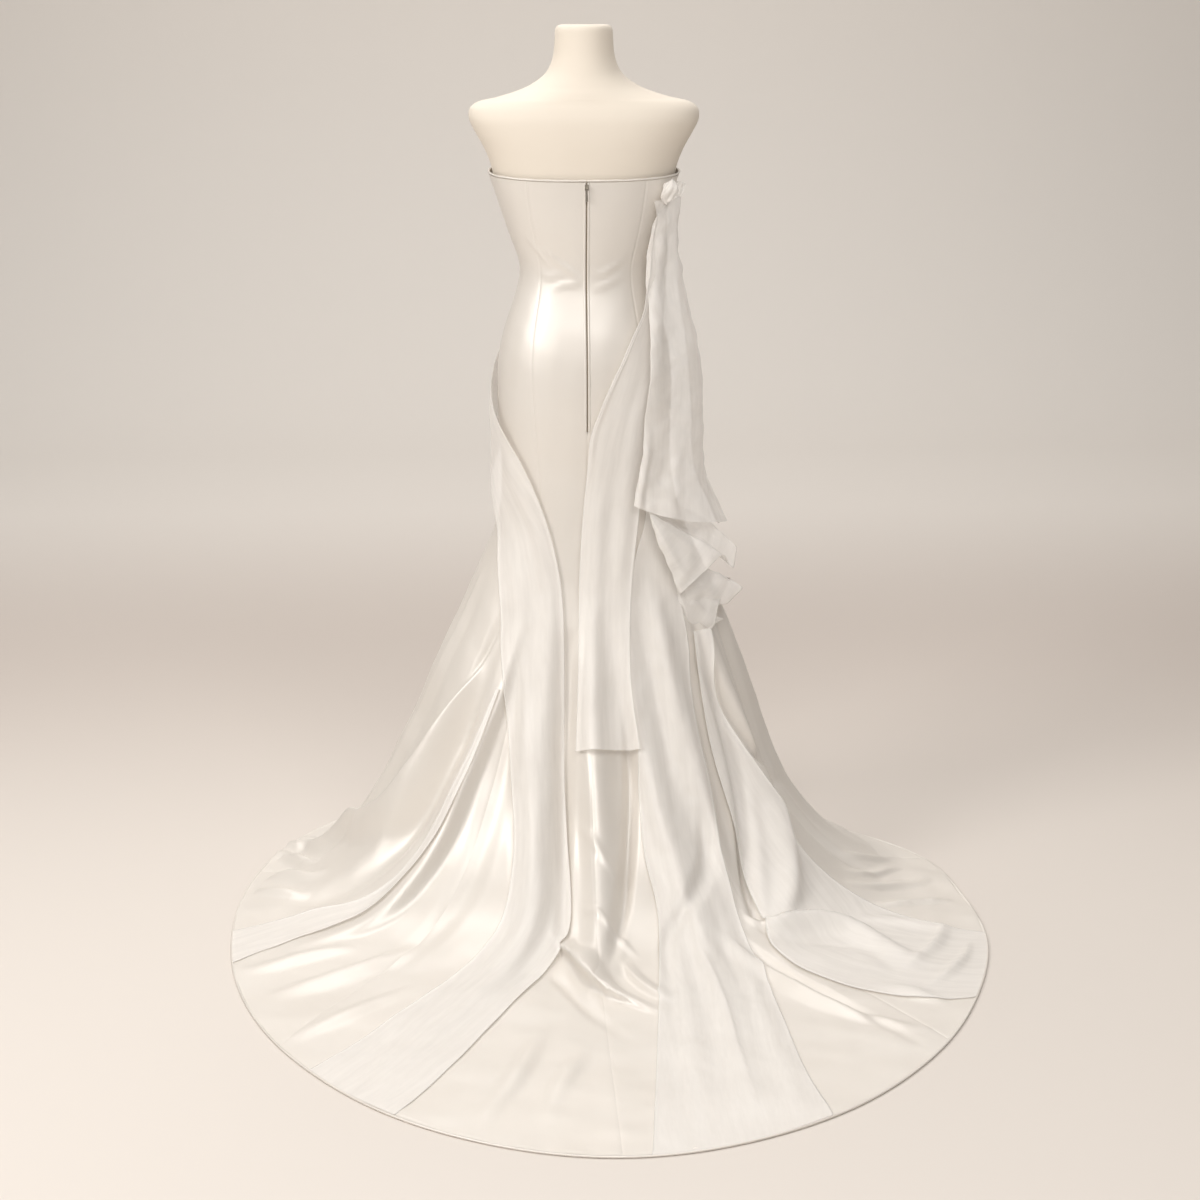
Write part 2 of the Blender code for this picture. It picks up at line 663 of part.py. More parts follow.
def make_slider(metal):
    """The slider with the two lugs that carry the pin."""
    _, pin_y, pin_z = pin_place()
    satin_face = pin_y - PIN_OFF_SATIN
    body = box(
        "zip_slider",
        (-0.0033, satin_face + 0.0018, pin_z - 0.0050),
        (0.0033, satin_face + 0.0027, pin_z + 0.0045),
        metal,
    )
    lug_in = 0.5 * LUG_GAP
    lug_out = lug_in + LUG_THICKNESS
    for side, label in ((1.0, "left"), (-1.0, "right")):
        ends = sorted((side * lug_in, side * lug_out))
        lug = box(
            f"lug_{label}",
            (ends[0], satin_face + 0.0024, pin_z - 0.0014),
            (ends[1], pin_y + 0.0013, pin_z + 0.0014),
            metal,
        )
        combine(body, lug, "UNION")
    pin = round_bar("pin", PIN_RADIUS, LUG_GAP + LUG_THICKNESS, 8, metal)
    pin.location = (0.0, pin_y, pin_z)
    combine(body, pin, "UNION")


def make_pull_tab(metal):
    """The drop-shaped tab that hangs from the pin."""
    outline = []
    for k in range(9):
        turn = math.pi * k / 8
        outline.append((TAB_EYE_OUTER * math.cos(turn) * 0.68, TAB_EYE_OUTER * math.sin(turn)))
    outline.append((-0.0011, -0.006))
    outline.append((-0.0013, -0.012))
    for k in range(9):
        turn = math.pi * (1.0 + k / 8)
        end = -TAB_LENGTH + 0.5 * TAB_WIDTH
        outline.append((0.5 * TAB_WIDTH * math.cos(turn), end + 0.5 * TAB_WIDTH * math.sin(turn)))
    outline.append((0.0013, -0.012))
    outline.append((0.0011, -0.006))
    count = len(outline)
    half = 0.5 * TAB_THICKNESS
    vertices = [(x, side * half, z) for side in (-1.0, 1.0) for x, z in outline]
    faces = [tuple(range(count)), tuple(reversed(range(count, 2 * count)))]
    faces += [(k, (k + 1) % count, count + (k + 1) % count, count + k) for k in range(count)]
    tab = add_mesh("pull_tab", vertices, faces, metal, smooth=False)
    tab.location = pin_place()
    knuckle = round_bar("knuckle", 0.0019, 0.0030, 12, metal)
    knuckle.location = pin_place()
    combine(tab, knuckle, "UNION")
    eye = round_bar("eye", EYE_RADIUS, 0.0060, 12, metal)
    eye.location = pin_place()
    combine(tab, eye, "DIFFERENCE")


def rings(name, table, sides, finish):
    """A solid through stacked rings, closed flat at both ends."""
    vertices, faces = [], []
    for height, half, back, front, power in table:
        for k in range(sides):
            row = (height, half, half, back, front, power, 0.0)
            direction = 360.0 * k / sides
            radius = float(section_radius(row, direction))
            angle = math.radians(direction)
            vertices.append((radius * math.sin(angle), radius * math.cos(angle), height))
    for i in range(len(table) - 1):
        for k in range(sides):
            n = (k + 1) % sides
            a, b = i * sides + k, i * sides + n
            faces.append((a, b, b + sides, a + sides))
    faces.append(tuple(range(sides)))
    faces.append(tuple(reversed(range((len(table) - 1) * sides, len(table) * sides))))
    return add_mesh(name, vertices, faces, finish)


def turned(name, profile, sides, finish):
    """A turned solid on the Z axis from a profile of radius and height."""
    table = [(height, radius, radius, radius, 2.0) for radius, height in profile]
    return rings(name, table, sides, finish)


def make_form(cover, metal):
    """The dress form: torso, pole, collar and weighted base."""
    rings("form_torso", FORM, FORM_SIDES, cover)
    pole_foot = BASE_HEIGHT + 0.0003
    pole_head = FORM[0][0] - 0.0003
    turned("form_pole", [(POLE_RADIUS, pole_foot), (POLE_RADIUS, pole_head)], 24, metal)
    collar_foot = pole_head - 0.045
    collar = [(0.0325, collar_foot), (0.034, collar_foot + 0.002), (0.034, pole_head)]
    sleeve = turned("form_collar", collar, 24, metal)
    bore = turned("collar_bore", [(0.0163, collar_foot - 0.01), (0.0163, pole_head + 0.01)], 24, metal)
    combine(sleeve, bore, "DIFFERENCE")
    base = [
        (BASE_RADIUS - 0.002, 0.0),
        (BASE_RADIUS, 0.003),
        (BASE_RADIUS, 0.010),
        (BASE_RADIUS - 0.010, 0.015),
        (0.060, 0.020),
        (0.030, BASE_HEIGHT),
    ]
    turned("form_base", base, 40, metal)


def main():
    """Build the dress and its form."""
    clear_scene()
    satin = material("satin", (0.86, 0.80, 0.71), 0.38)
    organza = material("organza", (0.90, 0.87, 0.83), 0.55)
    cover = material("form_cover", (0.84, 0.77, 0.66), 0.75)
    metal = material("nickel", (0.62, 0.58, 0.52), 0.32, 1.0)
    steel = material("painted_steel", (0.80, 0.77, 0.72), 0.45)
    coil = material("zip_coil", (0.42, 0.36, 0.30), 0.5)
    make_gown_panels(satin)
    make_top_binding(satin)
    make_organza(organza)
    make_knot(organza)
    make_zip(satin, coil)
    make_slider(metal)
    make_pull_tab(metal)
    make_form(cover, steel)


main()
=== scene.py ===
"""Looks of a strapless satin wedding dress with organza drapery, on a limbless dress form.

Metres, +Z up. The dress faces -Y, its train runs towards +Y and +X is the wearer's left. A
place on the gown is a direction in degrees (0 centre back, +90 wearer's left, 180 front) and a
level, counted in rows of the section tables from the top edge to the hem.
"""

import logging
import math
from dataclasses import dataclass
from enum import Enum

import bpy
import numpy as np
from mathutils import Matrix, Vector


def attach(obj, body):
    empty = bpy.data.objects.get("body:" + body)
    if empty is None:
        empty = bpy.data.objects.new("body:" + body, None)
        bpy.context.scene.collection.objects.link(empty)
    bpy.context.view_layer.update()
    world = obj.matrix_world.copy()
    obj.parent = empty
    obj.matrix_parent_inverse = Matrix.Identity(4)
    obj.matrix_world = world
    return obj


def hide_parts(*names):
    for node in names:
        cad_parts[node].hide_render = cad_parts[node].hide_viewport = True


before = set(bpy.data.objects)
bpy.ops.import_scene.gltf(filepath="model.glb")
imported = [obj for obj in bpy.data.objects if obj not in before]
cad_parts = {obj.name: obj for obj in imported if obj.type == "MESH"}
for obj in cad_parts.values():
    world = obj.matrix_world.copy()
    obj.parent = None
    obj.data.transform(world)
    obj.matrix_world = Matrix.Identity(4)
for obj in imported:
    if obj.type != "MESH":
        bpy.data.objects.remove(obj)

LOG = logging.getLogger("wedding_dress")

Array = np.ndarray
Row = tuple[float, ...]

MM = 0.001


# ---------------------------------------------------------------------------------------------
# Numbers
# ---------------------------------------------------------------------------------------------


def smooth_step(value: Array | float) -> Array:
    """Return 0 below 0 and 1 above 1, with level ends."""
    t = np.clip(value, 0.0, 1.0)
    return t * t * (3.0 - 2.0 * t)


def through(places: Array, values: Array, at: Array | float) -> Array:
    """Read a smooth curve through values.

    Args:
        places: Increasing positions of the values.
        values: One value, or one row of values, for each position.
        at: Positions to read.

    Returns:
        The values there.
    """
    places = np.asarray(places, float)
    values = np.asarray(values, float)
    at = np.clip(np.asarray(at, float), places[0], places[-1])
    steps = np.diff(places)
    slopes = np.diff(values, axis=0) / steps.reshape((-1,) + (1,) * (values.ndim - 1))
    tangents = np.empty_like(values)
    tangents[1:-1] = 0.5 * (slopes[1:] + slopes[:-1])
    tangents[0], tangents[-1] = slopes[0], slopes[-1]
    k = np.clip(np.searchsorted(places, at, side="right") - 1, 0, len(steps) - 1)
    shape = np.shape(at) + (1,) * (values.ndim - 1)
    h = steps[k].reshape(shape)
    t = ((at - places[k]) / steps[k]).reshape(shape)
    return (
        (1 + 2 * t) * (1 - t) ** 2 * values[k]
        + t * (1 - t) ** 2 * h * tangents[k]
        + t * t * (3 - 2 * t) * values[k + 1]
        + t * t * (t - 1) * h * tangents[k + 1]
    )


def bell(size: int) -> Array:
    """Return weights that add up to one, highest in the middle, for size cells on each side."""
    weights = np.hanning(2 * size + 3)[1:-1]
    return weights / weights.sum()


def unit(vectors: Array) -> Array:
    """Scale vectors to length one."""
    return vectors / np.maximum(np.linalg.norm(vectors, axis=-1, keepdims=True), 1e-12)


def run_along(points: Array, axis: int = 0) -> Array:
    """Return how far each point of a line or grid is from its start, along one axis."""
    steps = np.linalg.norm(np.diff(points, axis=axis), axis=-1)
    start = np.zeros_like(np.take(steps, [0], axis=axis))
    return np.concatenate([start, np.cumsum(steps, axis=axis)], axis=axis)


def rounded_radius(
    directions: Array, left: Array | float, right: Array | float, back: Array | float,
    front: Array | float, power: Array | float,
) -> Array:  # fmt: skip
    """Return the radius of a rounded section in each direction, given in radians."""
    across, along = np.sin(directions), np.cos(directions)
    side = np.where(across > 0, left, right)
    depth = np.where(along > 0, back, front)
    return (np.abs(across / side) ** power + np.abs(along / depth) ** power) ** (-1.0 / power)


def soft_waves(points: Array, length: float, seed: int, count: int = 7) -> Array:
    """Sum a few plane waves into a smooth uneven field.

    Args:
        points: Places to read the field at.
        length: Typical distance between two crests.
        seed: Number that picks the waves.
        count: Number of waves.

    Returns:
        The field, mostly between -1 and 1.
    """
    rng = np.random.default_rng(seed)
    total = np.zeros(points.shape[:-1])
    for _ in range(count):
        way = unit(rng.normal(size=3))
        pitch = length * rng.uniform(0.7, 1.5)
        total += np.sin(points @ way * (2.0 * math.pi / pitch) + rng.uniform(0.0, 2.0 * math.pi))
    return total / math.sqrt(count)


# ---------------------------------------------------------------------------------------------
# The gown's surface
# ---------------------------------------------------------------------------------------------


@dataclass(frozen=True)
class Fold:
    """One crest or trough on the gown.

    Attributes:
        path: Rows of direction, level, height in mm and half width in mm, from end to end.
        skew: Above 0 the side nearer the wearer's right is steeper, below 0 the left side.
        lean: How far the crest is pushed over to its steep side, as a share of its height.
    """

    path: tuple[Row, ...]
    skew: float = 0.0
    lean: float = 0.0


@dataclass
class GownShape:
    """The smooth outside of the gown, before its folds.

    Attributes:
        sections: Height, reach to the left, right, back and front, roundness and front rise.
        train: Share of the way to the hem and height of the cloth on the floor.
        hem: Direction and radius of the hem.
        hem_rounding: Degrees on each side over which the hem's outline is rounded off.
        table_step: Degrees between two columns of the worked-out tables.
        table_spare: Degrees that the tables run on past a full turn at each end.
    """

    sections: tuple[Row, ...] = (
        (1.288, 0.168, 0.168, 0.100, 0.112, 2.20, 0.040),
        (1.250, 0.153, 0.153, 0.098, 0.130, 2.15, 0.012),
        (1.212, 0.140, 0.140, 0.092, 0.127, 2.10, 0.000),
        (1.170, 0.124, 0.124, 0.084, 0.108, 2.05, 0.000),
        (1.130, 0.110, 0.110, 0.0775, 0.0915, 2.00, 0.000),
        (1.085, 0.122, 0.122, 0.086, 0.095, 2.00, 0.000),
        (1.035, 0.141, 0.141, 0.101, 0.103, 2.05, 0.000),
        (0.980, 0.155, 0.155, 0.114, 0.109, 2.10, 0.000),
        (0.915, 0.157, 0.157, 0.118, 0.110, 2.15, 0.000),
        (0.840, 0.153, 0.154, 0.113, 0.109, 2.15, 0.000),
        (0.765, 0.149, 0.154, 0.108, 0.108, 2.15, 0.000),
        (0.690, 0.152, 0.172, 0.110, 0.112, 2.15, 0.000),
        (0.610, 0.180, 0.208, 0.121, 0.124, 2.15, 0.000),
        (0.525, 0.216, 0.243, 0.141, 0.142, 2.20, 0.000),
        (0.435, 0.252, 0.272, 0.168, 0.164, 2.25, 0.000),
        (0.345, 0.286, 0.298, 0.202, 0.192, 2.30, 0.000),
        (0.255, 0.326, 0.327, 0.243, 0.226, 2.35, 0.000),
        (0.170, 0.366, 0.364, 0.292, 0.264, 2.35, 0.000),
        (0.100, 0.412, 0.418, 0.350, 0.302, 2.30, 0.000),
        (0.048, 0.468, 0.480, 0.420, 0.340, 2.25, 0.000),
        (0.020, 0.520, 0.540, 0.500, 0.370, 2.20, 0.000),
    )
    train: tuple[Row, ...] = (
        (0.20, 0.0110),
        (0.42, 0.0070),
        (0.64, 0.0048),
        (0.84, 0.0034),
        (1.00, 0.0024),
    )
    hem: tuple[Row, ...] = (
        (-180, 0.425), (-155, 0.440), (-130, 0.475), (-112, 0.520), (-100, 0.590),
        (-90, 0.650), (-75, 0.705), (-60, 0.790), (-45, 0.880), (-30, 0.998), (-15, 1.112),
        (0, 1.166), (15, 1.095), (30, 0.962), (45, 0.832), (60, 0.727), (75, 0.656),
        (90, 0.612), (105, 0.580), (125, 0.545), (150, 0.465), (180, 0.425),
    )  # fmt: skip
    hem_rounding: float = 7.0
    table_step: float = 0.1
    table_spare: float = 20.0

    def __post_init__(self) -> None:
        """Work out the tables of radius and height."""
        reach = 180.0 + self.table_spare
        directions = np.arange(-reach, reach + self.table_step, self.table_step)
        rows = [self._section(row, directions) for row in self.sections]
        start = rows[-1][0]
        reach = self._hem_radius(directions)
        for share, height in self.train:
            rows.append((start + share * (reach - start), np.full_like(start, height)))
        self._radius = self._with_ends(np.stack([row[0] for row in rows]))
        self._height = self._with_ends(np.stack([row[1] for row in rows]))

    @property
    def last_level(self) -> int:
        """Level of the hem."""
        return len(self.sections) + len(self.train) - 1

    @staticmethod
    def _with_ends(rows: Array) -> Array:
        """Add a row at each end, so that the curve meets the first and last rows."""
        return np.concatenate([2.0 * rows[:1] - rows[1:2], rows, 2.0 * rows[-1:] - rows[-2:-1]])

    @staticmethod
    def _section(row: Row, directions: Array) -> tuple[Array, Array]:
        """Return radius and height of one section in each direction."""
        height, left, right, back, front, power, rise = row
        angle = np.radians(directions)
        lifted = height + rise * (0.5 - 0.5 * np.cos(angle)) ** 2
        return rounded_radius(angle, left, right, back, front, power), lifted

    def _hem_radius(self, directions: Array) -> Array:
        """Return the hem's radius, rounded off between the rows of its table."""
        weights = bell(5)
        places, radii = zip(*self.hem)
        total = np.zeros_like(directions)
        offsets = np.linspace(-self.hem_rounding, self.hem_rounding, len(weights))
        for offset, weight in zip(offsets, weights):
            wrapped = (directions + offset + 180.0) % 360.0 - 180.0
            total += weight * through(places, radii, wrapped)
        return total

    def point(self, direction: Array | float, level: Array | float) -> Array:
        """Return points of the smooth gown.

        Args:
            direction: Directions round the body, in degrees.
            level: Levels down the gown.

        Returns:
            The points.
        """
        direction, level = np.broadcast_arrays(
            np.asarray(direction, float), np.asarray(level, float)
        )
        column = ((direction + 180.0) % 360.0 + self.table_spare) / self.table_step
        left = np.floor(column).astype(int)
        part = column - left
        level = np.clip(level, 0.0, self.last_level)
        row = np.clip(np.floor(level).astype(int), 0, self.last_level - 1)
        t = level - row
        weights = (
            (1.0 - t) ** 3 / 6.0,
            (3.0 * t**3 - 6.0 * t**2 + 4.0) / 6.0,
            (-3.0 * t**3 + 3.0 * t**2 + 3.0 * t + 1.0) / 6.0,
            t**3 / 6.0,
        )
        radius, height = np.zeros(level.shape), np.zeros(level.shape)
        for offset, weight in enumerate(weights):
            for table, total in ((self._radius, radius), (self._height, height)):
                near = table[row + offset, left] * (1.0 - part)
                total += weight * (near + table[row + offset, left + 1] * part)
        angle = np.radians(direction)
        return np.stack([radius * np.sin(angle), radius * np.cos(angle), height], axis=-1)

    def normal(self, direction: Array | float, level: Array | float) -> Array:
        """Return unit normals of the smooth gown, away from the body."""
        direction, level = np.asarray(direction, float), np.asarray(level, float)
        step_d, step_l = 0.6, 0.05
        around = self.point(direction + step_d, level) - self.point(direction - step_d, level)
        down = self.point(direction, level + step_l) - self.point(direction, level - step_l)
        return unit(np.cross(around, down))


class FoldSet:
    """Several folds, ready to be read at any point of the smooth gown."""

    DEGREES_PER_LEVEL = 12.0
    POINTS_PER_ROW = 12

    def __init__(self, shape: GownShape, folds: tuple[Fold, ...]) -> None:
        """Work out the curve of each fold."""
        self._curves = [self._curve(shape, fold) for fold in folds]

    @classmethod
    def _curve(cls, shape: GownShape, fold: Fold) -> dict[str, Array]:
        """Work out the points, sides, heights and widths along one fold."""
        rows = np.array(fold.path, float)
        apart = np.hypot(np.diff(rows[:, 0]) / cls.DEGREES_PER_LEVEL, np.diff(rows[:, 1]))
        places = np.concatenate([[0.0], np.cumsum(apart)])
        count = cls.POINTS_PER_ROW * len(rows)
        values = through(places, rows, np.linspace(0.0, places[-1], count))
        points = shape.point(values[:, 0], values[:, 1])
        normals = shape.normal(values[:, 0], values[:, 1])
        width = np.maximum(values[:, 3], 1.0) * MM
        return {
            "points": points,
            "sides": unit(np.cross(normals, np.gradient(points, axis=0))),
            "height": values[:, 2] * MM,
            "width": width,
            "reach": np.array(width.max() * (1.0 + abs(fold.skew))),
            "skew": np.array(fold.skew),
            "lean": np.array(fold.lean),
        }

    def read(self, points: Array) -> tuple[Array, Array]:
        """Return how far the folds lift and push each point.

        Args:
            points: Points of the smooth gown, in any grid.

        Returns:
            The height along the normal, and the push along the surface.
        """
        flat = points.reshape(-1, 3)
        height = np.zeros(len(flat))
        push = np.zeros_like(flat)
        for curve in self._curves:
            self._add(curve, flat, height, push)
        return height.reshape(points.shape[:-1]), push.reshape(points.shape)

    @staticmethod
    def _add(curve: dict[str, Array], flat: Array, height: Array, push: Array) -> None:
        """Add one fold to the height and push of the points near it."""
        line, reach = curve["points"], curve["reach"]
        near = np.all((flat > line.min(0) - reach) & (flat < line.max(0) + reach), axis=1)
        index = np.flatnonzero(near)
        if not len(index):
            return
        here = flat[index]
        best = np.full(len(index), np.inf)
        place = np.zeros(len(index))
        for k in range(len(line) - 1):
            step = line[k + 1] - line[k]
            t = np.clip((here - line[k]) @ step / (step @ step), 0.0, 1.0)
            away = np.sum((here - line[k] - t[:, None] * step) ** 2, axis=1)
            closer = away < best
            best = np.where(closer, away, best)
            place = np.where(closer, k + t, place)
        steps = np.arange(len(line))
        side, foot = (
            np.stack([np.interp(place, steps, values[:, k]) for k in range(3)], axis=1)
            for values in (curve["sides"], line)
        )
        turn = np.sign(np.sum((here - foot) * side, axis=1))
        width = np.interp(place, steps, curve["width"]) * (1.0 - turn * curve["skew"])
        bump = np.cos(0.5 * math.pi * np.clip(np.sqrt(best) / width, 0.0, 1.0)) ** 2
        rise = np.interp(place, steps, curve["height"]) * bump
        height[index] += rise
        lean = curve["lean"] * np.sign(curve["skew"]) * np.abs(rise) * bump
        push[index] += side * lean[:, None]


def blurred(values: Array, size: int) -> Array:
    """Smooth a grid whose columns go round.

    Args:
        values: Grid of numbers.
        size: Half width of the smoothing, in cells.

    Returns:
        The smoothed grid.
    """
    weights = bell(size)
    padded = np.pad(values, ((size, size), (0, 0)), mode="edge")
    rows = sum(w * padded[k : k + len(values)] for k, w in enumerate(weights))
    ring = rows[:, :-1]
    turned = sum(w * np.roll(ring, k - size, axis=1) for k, w in enumerate(weights))
    return np.concatenate([turned, turned[:, :1]], axis=1)


class Drape:
    """The gown with its folds, worked out once on a fine grid and read between its points."""

    FLOOR_GAP = 0.0012
    FLOOR_EASING = 0.003
    ROW_LENGTH = 0.0062
    FRONT_START, FRONT_STEP, BACK_STEP = 105.0, 1.0, 0.4
    FREE_LEVEL, FREE_REACH = 10.0, 4.0
    CLOTH_GAP = 0.0015
    # Length, seed and height of the slow waves that only the free skirt has.
    DRIFT = ((0.19, 3, 0.0018), (0.07, 11, 0.0005))
    # The same of the fine unevenness that all the satin has.
    GRAIN = (0.045, 5, 0.00022)

    def __init__(self, shape: GownShape, folds: tuple[Fold, ...]) -> None:
        """Work out the satin, and the line that loose cloth takes over it."""
        self.shape = shape
        front = np.arange(self.FRONT_START, 180.01, self.FRONT_STEP)
        back = np.arange(0.5 - self.FRONT_START, self.FRONT_START - 0.1, self.BACK_STEP)
        self.directions = np.concatenate([-front[::-1], back, front])
        self.levels = self._even_levels()
        grid = np.meshgrid(self.directions, self.levels)
        self.base = shape.point(*grid)
        self.normal = shape.normal(*grid)
        height, self.push = FoldSet(shape, folds).read(self.base)
        free = smooth_step((grid[1] - self.FREE_LEVEL) / self.FREE_REACH)
        drift = sum(soft_waves(self.base, length, seed) * rise for length, seed, rise in self.DRIFT)
        length, seed, rise = self.GRAIN
        height += drift * free + soft_waves(self.base, length, seed) * rise
        self.satin = self._lifted(height)
        bridged = np.maximum(height, 0.5 * height + 0.5 * blurred(height, 9))
        self.cover = self._lifted(blurred(bridged, 3))

    def _even_levels(self) -> Array:
        """Return levels a fixed length apart down the centre back."""
        fine = np.linspace(0.0, self.shape.last_level, 2001)
        length = run_along(self.shape.point(0.0, fine))
        return np.interp(np.arange(0.0, length[-1], self.ROW_LENGTH), length, fine)

    def _lifted(self, height: Array) -> Array:
        """Return the grid's points at a height off the smooth gown, none below the floor."""
        points = self.base + self.push + self.normal * height[..., None]
        low, ease = self.FLOOR_GAP, self.FLOOR_EASING
        over = points[..., 2] - low
        points[..., 2] = low + np.where(over > ease, over, ease * np.exp(over / ease - 1.0))
        return points

    def read(self, grid: Array, direction: Array | float, level: Array | float) -> Array:
        """Read one of the grids at any place.

        Args:
            grid: One of this object's grids, such as satin or normal.
            direction: Directions round the body, in degrees.
            level: Levels down the gown.

        Returns:
            The values there.
        """
        direction, level = np.broadcast_arrays(
            np.asarray(direction, float), np.asarray(level, float)
        )
        wrapped = (direction + 180.0) % 360.0 - 180.0
        column = np.interp(wrapped, self.directions, np.arange(len(self.directions)))
        row = np.interp(level, self.levels, np.arange(len(self.levels)))
        j = np.clip(column.astype(int), 0, len(self.directions) - 2)
        i = np.clip(row.astype(int), 0, len(self.levels) - 2)
        u, v = (column - j)[..., None], (row - i)[..., None]
        top = grid[i, j] * (1.0 - u) + grid[i, j + 1] * u
        low = grid[i + 1, j] * (1.0 - u) + grid[i + 1, j + 1] * u
        return top * (1.0 - v) + low * v

    def above(self, direction: Array, level: Array, lift: Array | float) -> Array:
        """Return points of loose cloth that lies over the satin, or stands off it."""
        out = unit(self.read(self.normal, direction, level))
        away = np.asarray(lift, float)[..., None]
        points = self.read(self.cover, direction, level) + out * away
        under = self.read(self.satin, direction, level) + out * np.minimum(away, self.CLOTH_GAP)
        points[..., 2] = np.maximum(points[..., 2], under[..., 2])
        return points


# ---------------------------------------------------------------------------------------------
# Meshes
# ---------------------------------------------------------------------------------------------


def grid_mesh(name: str, points: Array, closed: bool = False) -> bpy.types.Object:
    """Make a smooth sheet from a grid of points, with a UV map in metres.

    Args:
        name: Name of the piece.
        points: Grid of points, row by row.
        closed: Join the last column to the first.

    Returns:
        The new object.
    """
    rows, columns = points.shape[:2]
    i, j = np.meshgrid(
        np.arange(rows - 1), np.arange(columns if closed else columns - 1), indexing="ij"
    )
    k = (j + 1) % columns
    quads = np.stack(
        [i * columns + j, i * columns + k, (i + 1) * columns + k, (i + 1) * columns + j], axis=-1
    ).reshape(-1, 4)
    quads = quads[:, ::-1]
    mesh = bpy.data.meshes.new(name)
    mesh.vertices.add(rows * columns)
    mesh.vertices.foreach_set("co", points.reshape(-1).astype(np.float32))
    mesh.loops.add(quads.size)
    mesh.loops.foreach_set("vertex_index", quads.reshape(-1).astype(np.int32))
    mesh.polygons.add(len(quads))
    mesh.polygons.foreach_set("loop_start", np.arange(0, quads.size, 4, dtype=np.int32))
    mesh.polygons.foreach_set("loop_total", np.full(len(quads), 4, dtype=np.int32))
    mesh.update(calc_edges=True)
    middle = columns // 2
    across = run_along(points, 1)
    across -= across[:, middle][:, None]
    down = np.broadcast_to(run_along(points)[:, middle][:, None], across.shape)
    spots = np.stack([across, -down], axis=-1).reshape(-1, 2)
    layer = mesh.uv_layers.new(name="Cloth")
    layer.data.foreach_set("uv", spots[quads.reshape(-1)].reshape(-1).astype(np.float32))
    mesh.shade_smooth()
    item = bpy.data.objects.new(name, mesh)
    bpy.context.collection.objects.link(item)
    return item


def dress(item: bpy.types.Object, finish: bpy.types.Material, node: str) -> None:
    """Give a piece its finish and its body, and hide the CAD node that it stands for."""
    item.data.materials.append(finish)
    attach(item, "root")
    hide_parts(node)
    LOG.info("%s: %d faces", item.name, len(item.data.polygons))


# ---------------------------------------------------------------------------------------------
# Finishes
# ---------------------------------------------------------------------------------------------


def linear(code: str) -> tuple[float, float, float, float]:
    """Turn an sRGB hex colour into linear RGBA."""
    parts = [int(code[k : k + 2], 16) / 255.0 for k in (1, 3, 5)]
    red, green, blue = (
        part / 12.92 if part <= 0.04045 else ((part + 0.055) / 1.055) ** 2.4 for part in parts
    )
    return red, green, blue, 1.0


def add_node(
    tree: bpy.types.NodeTree,
    kind: str,
    settings: dict[str, object] | None = None,
    inputs: dict[str | int, object] | None = None,
) -> bpy.types.Node:
    """Add a node with its settings, constants and links.

    Args:
        tree: Node tree that takes the node.
        kind: Blender's name of the node.
        settings: Values for the node's own options.
        inputs: A constant, or another node's output, for each named input.

    Returns:
        The new node.
    """
    node = tree.nodes.new(kind)
    for name, value in (settings or {}).items():
        setattr(node, name, value)
    for name, value in (inputs or {}).items():
        if isinstance(value, bpy.types.NodeSocket):
            tree.links.new(value, node.inputs[name])
        else:
            node.inputs[name].default_value = value
    return node


def noise(
    tree: bpy.types.NodeTree, vector: bpy.types.NodeSocket, scale: float, detail: float,
    roughness: float, dimensions: str = "3D",
) -> bpy.types.NodeSocket:  # fmt: skip
    """Add a noise texture and return its factor."""
    return add_node(
        tree, "ShaderNodeTexNoise", {"noise_dimensions": dimensions},
        {"Vector": vector, "Scale": scale, "Detail": detail, "Roughness": roughness},
    ).outputs["Fac"]  # fmt: skip


def spread(
    tree: bpy.types.NodeTree, value: bpy.types.NodeSocket, low: float, high: float,
    start: float = 0.0, end: float = 1.0,
) -> bpy.types.NodeSocket:  # fmt: skip
    """Map a value between start and end onto the range from low to high."""
    return add_node(
        tree, "ShaderNodeMapRange", None,
        {"Value": value, "From Min": start, "From Max": end, "To Min": low, "To Max": high},
    ).outputs["Result"]  # fmt: skip


def bumped(
    tree: bpy.types.NodeTree, height: bpy.types.NodeSocket, strength: float, distance: float
) -> bpy.types.NodeSocket:
    """Add a bump of a height in metres and return its normal."""
    return add_node(
        tree, "ShaderNodeBump", None,
        {"Height": height, "Strength": strength, "Distance": distance},
    ).outputs["Normal"]  # fmt: skip


def empty_finish(name: str) -> bpy.types.Material:
    """Make a material with no nodes."""
    finish = bpy.data.materials.new(name)
    finish.use_nodes = True
    finish.node_tree.nodes.clear()
    return finish


def close(finish: bpy.types.Material, inputs: dict[str | int, object]) -> bpy.types.Material:
    """End a material in one surface shader with these inputs, and return it."""
    tree = finish.node_tree
    shader = add_node(tree, "ShaderNodeBsdfPrincipled", None, inputs)
    add_node(tree, "ShaderNodeOutputMaterial", None, {"Surface": shader.outputs["BSDF"]})
    return finish


class Weave(Enum):
    """How the threads of a cloth cross, and so which way its fine ridges run."""

    SATIN = "satin"
    PLAIN = "plain"
    JERSEY = "jersey"


